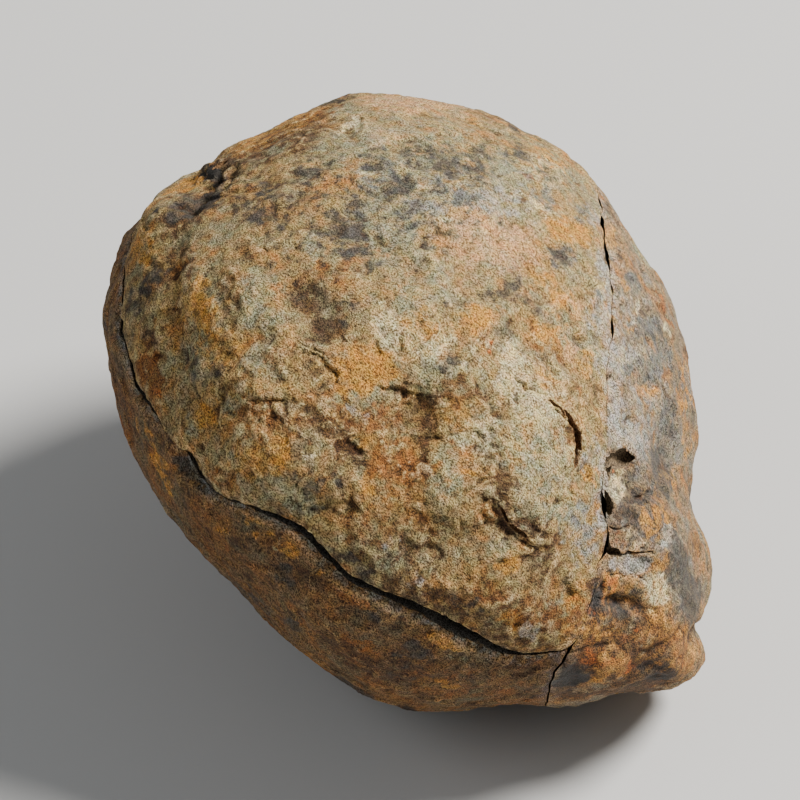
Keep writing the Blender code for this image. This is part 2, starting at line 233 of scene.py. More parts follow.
# How far each point lies above or below the middle of a crack, the opening there, and how
# far the point is from the nearer lip.
def crackOffset(name, points):
    local = toLocal(toWorld(points, faceAxes), crackAxes[name])
    offset = local[:, 1] - crackMiddle(name, local[:, 0], local[:, 2])
    opening = crackOpening(name, local[:, 0])
    return offset, opening, np.maximum(np.abs(offset) - opening / 2.0, 0.0)


# The skin before it is cut: lumps, ledges left by lost flakes, and narrow creases.
skin = {
    "ballLevel": 8,
    "wanderSize": 1.3,
    "edgeWander": 0.3,
    "rimRoughSize": 0.9,
    "rimRough": 0.2,
    "ledgeTaper": 2.8,
    "taperShare": 0.45,  # most of a ledge's length that each tapered end takes
    "creaseTaper": 0.6,
    "fineLedges": 11,  # ledges, counted from the first, along which the mesh is finer
    "fineReach": 0.45,  # either side of a ledge or a crease
    "finePatches": ((20.4, -11.5, 6.6), (19.6, -18, 4), (15, -3.5, 3), (-17, 21, 3)),  # a, b, reach
    "wearReach": 0.5,
    "wearAbove": 0.12,
    "wearBelow": 0.45,
    "wearOpening": 0.7,  # opening at which a lip is worn in full
    "wearLeast": 0.15,
    "wearMost": 1.2,
    # a, b, side, reach, height
    "lumps": (
        (4.5, 6, 1, 8, 0.5), (-13, -3, 1, 3.6, 0.7), (-1.7, -3.3, 1, 4.6, -0.8), (12, -2.4, 1, 4.8, 0.8),
        (10.4, -10.6, 1, 4.2, 0.6), (-2.4, 17, 1, 6, -0.5), (-7.6, 11, 1, 5, 0.4),
        (-22.8, 16.6, 1, 4.2, 0.9), (-22, 5.5, 1, 5, -0.7), (8, -16.5, 1, 5, 0.5), (-7, -20.5, 1, 5, 0.6),
        (22.6, 3, 1, 5, -0.4), (24.4, -5.2, 1, 3.8, -1.2), (24.6, -12.4, 1, 4.2, 1),
        (21, -18.4, 1, 2.6, -1), (25.4, -23, 1, 3.4, 1.3), (18.6, -24.6, 1, 3.2, 0.6),
        (17, -27.6, -1, 3.6, -0.9), (-14, 8, -1, 9, 1), (6, 18, -1, 8, -0.9), (14, 6, -1, 7, 0.8),
        (-4, -4, -1, 7, 0.6), (-18, -4, -1, 6, -0.6), (-9, -16, -1, 9, 1.6), (15, -13, -1, 8, -1.6),
        (22, -23, -1, 9, -4),
    ),
    # side, drop, width of the steep face, run-out, points; the low ground is on the right hand
    "ledges": (
        (1, 0.5, 0.3, 3.5, ((11.5, 1.5), (13.2, 0.2), (15.1, -1.7), (15.8, -3), (15.9, -4.1), (15.6, -6))),
        (1, 0.4, 0.3, 2.0, ((-11, 6.2), (-9.5, 5.2), (-7.4, 4.6), (-6.4, 3), (-6.3, 1.2))),
        (1, 0.5, 0.3, 3, ((-3.9, 1.9), (-0.9, 1.8), (1.8, 1.1), (3.2, 0.7))),
        (1, 0.6, 0.6, 2.5,
            ((-15.4, 1.6), (-16.3, 0.7), (-16.8, -0.3), (-17.1, -1.8), (-16.5, -2.4), (-15.3, -3.5))),
        (1, 0.4, 0.3, 2.2, ((-13.3, 0.8), (-11.7, 0.6), (-10.2, 0.7))),
        (1, 0.6, 0.5, 3, ((8.2, -8.4), (9.4, -10.8), (11.2, -12.3), (13.6, -12.6))),
        (1, 0.45, 0.5, 3, ((-5.9, -2.4), (-4.6, -3.6), (-3.2, -5.1))),
        (1, 0.7, 0.4, 1.4, ((-4.5, -7.3), (-4.5, -8.7), (-3.6, -10.2))),
        (1, 0.5, 0.6, 3, ((4.2, -9.6), (6.0, -10.6), (8.6, -10.4))),
        (1, 0.6, 0.4, 1.6, ((-6.7, 26), (-5.8, 26.6), (-4.4, 27))),
        (1, 1.5, 0.6, 2.8, ((-17.1, 23.2), (-17.2, 21.6), (-18.1, 20.2), (-19.5, 18.4), (-20.6, 16.9))),
        (1, 0.7, 1.3, 4, ((-19.3, 16.8), (-20.2, 13.5), (-20.8, 9.7), (-20.1, 6), (-19.2, 2.7), (-17.8, -1))),
        (1, 0.45, 0.6, 3.2, ((-0.3, 13.6), (0.8, 15.3), (3.2, 17), (6.7, 18.1))),
        (1, 0.35, 0.4, 2.2, ((14.9, 7), (16.8, 6.4), (18.6, 5.7))),
        (-1, 1.2, 0.8, 4.5, ((-16, 14), (-11.5, 16.5), (-6.5, 16), (-3, 12.5), (-2.6, 8))),
        (-1, 1, 0.8, 3.5, ((4, 14.5), (8.5, 13), (11.5, 9.5), (12, 5))),
        (-1, 1.1, 0.8, 4, ((-22, 2), (-17.5, 1), (-14, -2.5), (-13.5, -7))),
    ),
    # narrow grooves on the face: depth, half width, points
    "creases": (
        (0.35, 0.22, ((-10.4, -7.8), (-9.6, -6.6), (-8.4, -6))),
        (0.35, 0.2, ((9.7, 2.8), (10.6, 1.6), (11.5, 0.8))),
        (0.35, 0.2, ((13.3, 3.4), (14, 2.1), (14.5, 0.8))),
        (0.3, 0.2, ((-13.6, 14.9), (-13, 14.3), (-12.6, 13.9))),
        (0.35, 0.2, ((-10.6, 15.2), (-10, 14))),
        (0.3, 0.15, ((-6.3, 5.8), (-4.3, 5.7))),
        (0.3, 0.15, ((-10.9, 6.3), (-9.4, 5.3), (-7.4, 4.7))),
        (0.3, 0.2, ((-27, 11), (-27.2, 8.8), (-27, 6.8))),
        (0.3, 0.2, ((8.1, 15.8), (8.5, 15), (9, 14.6))),
        (0.25, 0.2, ((-3, 6.2), (-2.4, 5.2), (-2.3, 4.2))),
        (0.25, 0.2, ((-0.6, 6.3), (-0.5, 5), (-0.4, 4.4))),
        (0.6, 0.3, ((23, -8), (22.1, -8.9), (21.1, -9.7))),
        (0.9, 0.13, ((19.5, -14.1), (20.4, -14.2), (21.4, -14.0), (22.5, -13.8), (22.9, -13.9))),
        (0.5, 0.12, ((18.8, -11.6), (20, -11.6), (21.2, -11.5))),
        (0.5, 0.12, ((21.4, -13.5), (21.9, -13.3), (22.1, -13.7))),
        (0.35, 0.14, ((18.9, -16.1), (20.4, -16.2), (21.9, -16.3), (22.8, -15.9))),
        (0.6, 0.2, ((15.5, -22.6), (15.1, -23.7), (14.8, -24.9))),
    ),
    # swells and dents on the face: a, b, half length, half width, turn, height, steepness of the rim
    "swells": (
        (11.6, -5.0, 6.6, 4.3, 80, 0.9, 4), (4.6, -7.9, 2.9, 2.4, 60, 0.5, 3),
        (0.7, -2.4, 4.0, 2.6, 75, -0.8, 5), (-0.5, -4.6, 1.3, 0.9, 60, 0.3, 3),
        (-11.4, 2.9, 4.6, 3.0, 10, 0.6, 4), (-11.2, -4.6, 5.8, 4.2, 20, 0.7, 4),
        (-8.6, 8.6, 3.4, 1.9, -42, -0.6, 3), (-9, -9.4, 3, 2, -35, -0.45, 3),
        (3, -13.5, 5, 2.6, -20, -0.4, 3), (-1, 9, 4.5, 3.4, 0, 0.35, 3), (4.5, 17, 4.8, 3.2, 20, 0.4, 4),
        (-15, 10.5, 4.2, 3, 60, 0.4, 3), (25.4, -24.2, 2.3, 2.0, 0, 0.7, 4),
        (27.7, -21.8, 1.9, 1.0, 20, -0.9, 2), (23.4, -22.4, 2.4, 0.5, 35, -0.6, 2),
        (20.4, -7.3, 2.3, 1.5, 84, -0.9, 4), (18.95, -10.2, 1.2, 0.5, 102, -0.6, 4),
        (20.2, -10.5, 1.25, 0.95, 0, -0.25, 6), (21.2, -15.1, 1.6, 0.95, 0, -0.35, 6),
        (20.6, -18.9, 2.1, 0.8, -8, -0.8, 4), (18.0, -18.2, 1.7, 0.45, 70, -0.6, 4),
        (19.6, -22.2, 1.6, 1.1, 40, -0.4, 2), (16.2, -24.6, 2.0, 1.1, 50, -0.6, 2),
        (-20.4, -5.8, 1.7, 0.95, -62, -1.1, 4), (-18.9, -7.6, 1.3, 0.6, -35, -0.5, 4),
        (-20.2, 17.8, 4.6, 0.9, 48, -0.6, 2), (-23, 18, 3.2, 1.9, 48, 0.4, 3),
        (22.3, -24.4, 2.2, 0.6, 20, -0.5, 2), (-16.6, 21.6, 1.3, 0.5, 62, -0.5, 3),
    ),
    # small pits on the face: a, b, half width, depth
    "pits": (
        (-21.3, 18.7, 0.5, 0.8), (19.3, 2.3, 0.6, 0.9), (20.5, -10.55, 0.2, 0.6), (-23.8, 4.9, 0.35, 0.5),
        (20.8, -1.6, 0.7, 0.5), (-17.6, 21.9, 0.7, 1.6), (-17.2, 20.4, 0.45, 1.0), (9.8, 0.2, 0.45, 0.4),
        (18.8, -4.6, 0.35, 0.4), (10.2, -20.4, 0.5, 0.4),
    ),
}


# Distance of each point to a line, positive on its right hand, the place along it, and its length.
def sideOfLine(points, line):
    flat = points[:, :2]
    nearest = np.full(len(points), np.inf)
    rightHand = np.zeros(len(points))
    along = np.zeros(len(points))
    walked = 0.0
    for start, end in zip(np.array(line[:-1]), np.array(line[1:])):
        step = end - start
        length = np.linalg.norm(step)
        offset = flat - start
        part = np.clip(offset @ step / length ** 2, 0.0, 1.0)
        distance = np.linalg.norm(offset - part[:, None] * step, axis=1)
        toRight = offset[:, 0] * step[1] - offset[:, 1] * step[0]
        closer = distance < nearest
        nearest = np.where(closer, distance, nearest)
        rightHand = np.where(closer, np.copysign(distance, toRight), rightHand)
        along = np.where(closer, walked + part * length, along)
        walked += length
    return rightHand, along, walked


def endFade(along, length, taper):
    return smoothStep(along / taper) * smoothStep((length - along) / taper)


def ledgeHeight(points, drop, width, runOut, line):
    rightHand, along, length = sideOfLine(points, line)
    step = smoothStep(rightHand / width)
    ends = endFade(along, length, min(skin["ledgeTaper"], skin["taperShare"] * length))
    return -drop * step * ends * np.exp(-np.maximum(rightHand, 0.0) / runOut)


def wornLips(points):
    height = np.zeros(len(points))
    for name in crackAxes:
        offset, opening, away = crackOffset(name, points)
        wear = np.where(offset > 0.0, skin["wearAbove"], skin["wearBelow"])
        share = np.clip(opening / skin["wearOpening"], skin["wearLeast"], skin["wearMost"])
        height -= wear * share * np.exp(-(away / skin["wearReach"]) ** 2)
    return height


# Offsets measured along and across a mark that is turned by some degrees.
def turned(right, up, turn):
    angle = math.radians(turn)
    along = right * math.cos(angle) + up * math.sin(angle)
    return along, up * math.cos(angle) - right * math.sin(angle)


def skinPoints(directions):
    points = plainForm(directions)
    outward = points / np.linalg.norm(points, axis=1)[:, None]
    front = directions[:, 2] > 0.0
    wandered = points.copy()
    wandered[:, :2] += noiseVectors(points, skin["wanderSize"], (1.0, 2.0)) * skin["edgeWander"]
    height = np.zeros(len(points))
    for a, b, side, reach, rise in skin["lumps"]:
        distance = np.linalg.norm(points - surfacePoint(a, b, side), axis=1)
        height += rise * np.exp(-(distance / reach) ** 2)
    for side, drop, width, runOut, line in skin["ledges"]:
        near = front if side > 0 else ~front
        height[near] += ledgeHeight(wandered[near], drop, width, runOut, line)
    for depth, width, line in skin["creases"]:
        rightHand, along, length = sideOfLine(wandered[front], line)
        ends = endFade(along, length, skin["creaseTaper"])
        height[front] -= depth * ends * np.exp(-(rightHand / width) ** 2)
    rough = 1.0 + skin["rimRough"] * noiseAt(points, skin["rimRoughSize"], 3.0, 3)
    for a, b, length, width, turn, rise, power in skin["swells"]:
        along, across = turned(points[:, 0] - a, points[:, 1] - b, turn)
        height += front * rise * np.exp(-(np.hypot(along / length, across / width) * rough) ** power)
    for a, b, width, depth in skin["pits"]:
        distance = np.linalg.norm(wandered - surfacePoint(a, b, 1), axis=1)
        height -= depth * np.exp(-(distance / width) ** 2)
    height += wornLips(points)
    return points + outward * height[:, None]


def cornersOf(shape):
    return np.array([tuple(vertex.co) for vertex in shape.verts])


# Splits the ball's edges near ledges and chipped places, where the skin turns sharply.
def refine(ball):
    directions = cornersOf(ball)
    points = plainForm(directions)
    rims = [(a, b, hollows["fineRim"] * max(radii)) for _, a, b, _, radii in hollows["places"]]
    close = np.zeros(len(points), dtype=bool)
    for a, b, reach in rims + list(skin["finePatches"]):
        close |= np.hypot(points[:, 0] - a, points[:, 1] - b) < reach
    lines = [row[-1] for row in skin["ledges"][:skin["fineLedges"]] + skin["creases"]]
    for line in lines:
        close |= np.abs(sideOfLine(points, line)[0]) < skin["fineReach"]
    close &= directions[:, 2] > 0.0
    ball.verts.index_update()
    edges = [edge for edge in ball.edges if close[edge.verts[0].index] and close[edge.verts[1].index]]
    bmesh.ops.subdivide_edges(ball, edges=edges, cuts=1)
    bmesh.ops.triangulate(ball, faces=[part for part in ball.faces if len(part.verts) > 3])


def meshFrom(shape, name):
    mesh = bpy.data.meshes.new(name)
    shape.to_mesh(mesh)
    shape.free()
    return mesh


def linked(name, data):
    thing = bpy.data.objects.new(name, data)
    bpy.context.scene.collection.objects.link(thing)
    return thing


# Faces are told apart through the cuts by their material slot: skin, crack wall, hollow.
markers = [bpy.data.materials.new(name) for name in ("skinMark", "wallMark", "hollowMark")]


def marked(mesh, slot):
    for marker in markers:
        mesh.materials.append(marker)
    mesh.polygons.foreach_set("material_index", np.full(len(mesh.polygons), slot, dtype=np.int32))
    return mesh


def buildSkin():
    ball = bmesh.new()
    bmesh.ops.create_icosphere(ball, subdivisions=skin["ballLevel"], radius=1.0)
    for vertex in ball.verts:
        vertex.co.normalize()
    refine(ball)
    directions = cornersOf(ball)
    directions /= np.linalg.norm(directions, axis=1)[:, None]
    mesh = meshFrom(ball, "skin")
    mesh.vertices.foreach_set("co", toWorld(skinPoints(directions), faceAxes).ravel())
    mesh.update()
    return linked("skin", marked(mesh, 0))


# Weathered relief, laid over the skin by geometry nodes. Sizes and heights are in mm.
relief = {
    "hummockSize": 4.2,
    "hummockHeight": 0.46,
    "flakeSize": 8.0,
    "flakeSteps": 5.0,
    "flakeHeight": 1.5,
    "gritSize": 0.9,
    "gritHeight": 0.2,
    "gritStretch": 2.2,
    "pitSize": 1.9,
    "pitDepth": 0.16,
    "pitPatchSize": 6.25,
    "seed": 4.0,
}

# Detail, roughness and shift of each noise of the relief.
reliefNoises = {
    "hummock": (3.0, 0.5, 0.0),
    "flake": (3.0, 0.45, 70.0),
    "grit": (3.0, 0.6, 130.0),
    "pitPatch": (2.0, 0.5, 190.0),
}

# Ramps of the relief: the steep edge of a terrace, where pits come, and the rim of a pit.
reliefRamps = {"stepEdge": (0.0, 0.22), "pitPatch": (0.5, 0.66), "pitRim": (0.34, 0.1)}


class Tree:
    def __init__(self, tree):
        self.tree = tree

    def node(self, kind, settings=None, **values):
        node = self.tree.nodes.new(kind)
        for key, value in (settings or {}).items():
            setattr(node, key, value)
        for key, value in values.items():
            self.feed(node.inputs[key], value)
        return node

    def feed(self, socket, value):
        if isinstance(value, bpy.types.NodeSocket):
            self.tree.links.new(value, socket)
        else:
            socket.default_value = value

    def math(self, operation, first, second=0.0, third=None):
        node = self.node("ShaderNodeMath", {"operation": operation})
        for index, value in enumerate((first, second, third)):
            if value is not None:
                self.feed(node.inputs[index], value)
        return node.outputs[0]

    def vector(self, operation, first, second=None, scale=None):
        node = self.node("ShaderNodeVectorMath", {"operation": operation})
        for key, value in ((0, first), (1, second), ("Scale", scale)):
            if value is not None:
                self.feed(node.inputs[key], value)
        return node.outputs["Value" if operation == "DOT_PRODUCT" else "Vector"]

    def ramp(self, value, low, high, start=0.0, end=1.0):
        node = self.node("ShaderNodeMapRange", {"interpolation_type": "SMOOTHSTEP"})
        names = ("Value", "From Min", "From Max", "To Min", "To Max")
        for key, number in zip(names, (value, low, high, start, end)):
            self.feed(node.inputs[key], number)
        return node.outputs["Result"]

    def noise(self, place, scale, detail, roughness, shift):
        node = self.node("ShaderNodeTexNoise", Scale=scale, Detail=detail, Roughness=roughness)
        self.feed(node.inputs["Vector"], self.shifted(place, shift))
        return node.outputs[0]

    def cells(self, place, scale):
        return self.node("ShaderNodeTexVoronoi", Vector=place, Scale=scale).outputs

    # The same place moved far off, so that two patterns at one size don't match.
    def shifted(self, place, shift):
        skew = noiseShape["seedSkew"]
        if isinstance(shift, bpy.types.NodeSocket):
            across = self.math("MULTIPLY", shift, skew)
            way = self.node("ShaderNodeCombineXYZ", X=shift, Y=across, Z=shift).outputs[0]
        else:
            way = (shift, shift * skew, -shift)
        return self.vector("ADD", place, way)

    # The same place squeezed along one way, so that a pattern on it is drawn out that way.
    def stretched(self, place, way, amount):
        along = self.vector("DOT_PRODUCT", place, way)
        less = self.math("SUBTRACT", self.math("DIVIDE", 1.0, amount), 1.0)
        return self.vector("ADD", place, self.vector("SCALE", way, scale=self.math("MULTIPLY", along, less)))

    def mixed(self, amount, first, second, blend="MIX"):
        node = self.node("ShaderNodeMix", {"data_type": "RGBA", "blend_type": blend})
        for index, value in ((0, amount), (6, first), (7, second)):
            self.feed(node.inputs[index], value)
        return node.outputs[2]

    def group(self, tree, **values):
        return self.node("ShaderNodeGroup", {"node_tree": tree}, **values).outputs


# A node group with its sockets, as a Tree and the outputs of its input node.
def newGroup(name, kind, inputs, outputs):
    build = Tree(bpy.data.node_groups.new(name, kind))
    for direction, sockets in (("INPUT", inputs), ("OUTPUT", outputs)):
        for title, sort in sockets.items():
            build.tree.interface.new_socket(name=title, in_out=direction, socket_type="NodeSocket" + sort)
    return build, build.node("NodeGroupInput").outputs


def reliefTree():
    inputs = {"Geometry": "Geometry", **{name: "Float" for name in relief}, "stone": "Material"}
    build, given = newGroup("crustRelief", "GeometryNodeTree", inputs, {"Geometry": "Geometry"})
    place = build.vector("SCALE", build.node("GeometryNodeInputPosition").outputs[0], scale=1.0 / mm)

    def pattern(spot, name):
        detail, roughness, shift = reliefNoises[name]
        rate = build.math("DIVIDE", 1.0, given[name + "Size"])
        return build.noise(spot, rate, detail, roughness, build.math("ADD", given["seed"], shift))

    def upAndDown(spot, name):
        twice = build.math("MULTIPLY", given[name + "Height"], 2.0)
        return build.math("MULTIPLY", build.math("SUBTRACT", pattern(spot, name), 0.5), twice)

    hummocks = upAndDown(place, "hummock")

    # Lost flakes leave low terraces with short steep edges.
    flake = pattern(place, "flake")
    level = build.math("MULTIPLY", flake, given["flakeSteps"])
    climb = build.ramp(build.math("FRACT", level), *reliefRamps["stepEdge"])
    terrace = build.math("DIVIDE", build.math("ADD", build.math("FLOOR", level), climb), given["flakeSteps"])
    flakes = build.math("MULTIPLY", build.math("SUBTRACT", terrace, flake), given["flakeHeight"])

    # The grit runs along the bedding, from the upper left to the lower right of the face.
    pulled = build.stretched(place, bedding, given["gritStretch"])
    grit = upAndDown(pulled, "grit")

    cells = build.cells(build.shifted(place, given["seed"]), build.math("DIVIDE", 1.0, given["pitSize"]))
    few = build.ramp(pattern(place, "pitPatch"), *reliefRamps["pitPatch"])
    pit = build.math("MULTIPLY", build.ramp(cells["Distance"], *reliefRamps["pitRim"]), few)
    pits = build.math("MULTIPLY", pit, build.math("MULTIPLY", given["pitDepth"], -1.0))

    height = build.math("ADD", build.math("ADD", hummocks, flakes), build.math("ADD", grit, pits))
    normal = build.node("GeometryNodeInputNormal").outputs[0]
    push = build.vector("SCALE", normal, scale=build.math("MULTIPLY", height, mm))
    moved = build.node("GeometryNodeSetPosition", Geometry=given["Geometry"], Offset=push)
    whole = build.node("GeometryNodeRealizeInstances", Geometry=moved.outputs[0])
    finish = build.node("GeometryNodeSetMaterial", Geometry=whole.outputs[0], Material=given["stone"])
    build.node("NodeGroupOutput", Geometry=finish.outputs[0])
    return build.tree


def evaluated(thing):
    bpy.context.view_layer.update()
    return bpy.data.meshes.new_from_object(thing.evaluated_get(bpy.context.evaluated_depsgraph_get()))


def useTree(thing, tree, values):
    modifier = thing.modifiers.new(tree.name, "NODES")
    modifier.node_group = tree
    for socket in tree.interface.items_tree:
        if socket.item_type == "SOCKET" and socket.in_out == "INPUT" and socket.name in values:
            modifier[socket.identifier] = values[socket.name]
    mesh = evaluated(thing)
    thing.modifiers.remove(modifier)
    return mesh


# One side of a crack as a closed block whose near wall is a fine sheet of broken stone.
def crackBlock(name, side):
    steps = np.arange(-cracks["span"], cracks["span"], cracks["spacing"])
    count = len(steps)
    along, inward = (values.ravel() for values in np.meshgrid(steps, steps, indexing="ij"))
    flat = np.stack((along, inward, np.full_like(along, side)), axis=1)
    wander = noiseAt(flat, cracks["lipJagSize"], cracks["seeds"][name] + cracks["lipSeed"], 2)
    half = crackOpening(name, along) / 2.0 * (1.0 + cracks["lipJag"] * np.clip(wander, -1.0, 1.0))
    wall = np.stack((along, crackMiddle(name, along, inward) + side * half, inward), axis=1)
    low, high = steps[0], steps[-1]
    far = side * cracks["reach"]
    cap = np.array(((low, far, low), (high, far, low), (high, far, high), (low, far, high)))
    points = toWorld(np.concatenate((wall, cap)), crackAxes[name])
    base = count * count
    starts = [i * count + j for i in range(count - 1) for j in range(count - 1)]
    faces = [(first, first + 1, first + count + 1, first + count) for first in starts]
    faces.append([*range(count), base + 3, base])
    faces.append([*range(base - count, base), base + 2, base + 1])
    faces.append([*range(0, base, count), base + 1, base])
    faces.append([*range(count - 1, base, count), base + 2, base + 3])
    faces.append([base, base + 1, base + 2, base + 3])
    mesh = bpy.data.meshes.new(name)
    mesh.from_pydata(points.tolist(), [], faces)
    block = bmesh.new()
    block.from_mesh(mesh)
    bmesh.ops.recalc_face_normals(block, faces=block.faces)
    block.to_mesh(mesh)
    block.free()
    return linked(name + "Block", marked(mesh, 1))


def groundBlock():
    reach = cracks["reach"] * mm
    block = bmesh.new()
    bmesh.ops.create_cube(block, size=2.0 * reach, matrix=Matrix.Translation((0.0, 0.0, -reach)))
    return linked("groundBlock", marked(meshFrom(block, "ground"), 0))


# Hollows cut after the relief: chips along the break, the notch at the upper left of the
# face, and the clefts that stand open in it.
hollows = {
    "ballLevel": 4,
    "sink": 0.2,
    "roughSize": 0.8,
    "roughness": 0.2,
    "seedStep": 5.0,
    "castFrom": 60.0,  # mm above the face
    "slopeReach": 0.7,  # either side, to find which way the skin faces
    "fineRim": 0.6,  # share of the largest radius within which the skin's mesh is finer
    # stone, a, b, turn, radii across, up and in
    "places": (
        ("endStone", 20.1, -5.1, 0, (2.6, 1.0, 0.66)),
        ("endStone", 18.95, -5.9, 6, (0.5, 1.05, 1.1)),
        ("endStone", 18.8, -9.3, 14, (0.48, 1.25, 1.0)),
        ("endStone", 18.9, -13.2, 18, (0.24, 1.1, 1.4)),
        ("endStone", 19.35, -13.8, -8, (0.9, 0.4, 1.3)),
        ("upperStone", -17.7, 22.6, 48, (0.95, 0.4, 0.9)),
        ("upperStone", -17.35, 21.3, 10, (0.35, 0.6, 0.8)),
        ("upperStone", 14.2, -0.25, -40, (1.1, 0.12, 0.7)),
        ("upperStone", 15.25, -1.55, -54, (1.3, 0.27, 0.9)),
        ("upperStone", 15.9, -3.4, -84, (1.5, 0.36, 1.0)),
        ("upperStone", 15.8, -4.8, -100, (1.1, 0.26, 0.9)),
        ("upperStone", 9.1, -10.3, -66, (1.0, 0.18, 0.7)),
        ("upperStone", 10.4, -11.8, -44, (1.1, 0.26, 0.7)),
    ),
}


def skinSpot(a, b):
    start = faceAxes @ (Vector((a, b, hollows["castFrom"])) * mm)
    where = weatheredSkin.ray_cast(start, -faceAxes.col[2].to_3d())[1]
    return faceAxes.inverted() @ where / mm


def hollowBall(number, a, b, turn, radii):
    reach = hollows["slopeReach"]
    across = skinSpot(a + reach, b) - skinSpot(a - reach, b)
    outward = across.cross(skinSpot(a, b + reach) - skinSpot(a, b - reach))
    lean = Vector((0.0, 0.0, 1.0)).rotation_difference(outward).to_matrix().to_4x4()
    middle = skinSpot(a, b) - hollows["sink"] * outward.normalized()
    ball = bmesh.new()
    bmesh.ops.create_icosphere(ball, subdivisions=hollows["ballLevel"], radius=1.0)
    points = cornersOf(ball)
    rough = noiseAt(points * np.array(radii), hollows["roughSize"], number * hollows["seedStep"], 4)
    points *= (1.0 + hollows["roughness"] * rough)[:, None] * np.array(radii)
    for vertex, point in zip(ball.verts, points):
        vertex.co = point
    spin = Matrix.Rotation(math.radians(turn), 4, "Z")
    ball.transform(faceAxes @ Matrix.Scale(mm, 4) @ Matrix.Translation(middle) @ lean @ spin)
    return linked(f"hollow{number}", marked(meshFrom(ball, "hollow"), 2))


def cutPiece(name, steps):
    piece = linked(name, weatheredSkin.data.copy())
    for operation, cutter in steps:
        modifier = piece.modifiers.new(cutter.name, "BOOLEAN")
        modifier.operation = operation
        modifier.solver = "MANIFOLD"
        modifier.object = cutter
    mesh = evaluated(piece)
    piece.modifiers.clear()
    whole = piece.data
    piece.data = mesh
    bpy.data.meshes.remove(whole)
    return piece


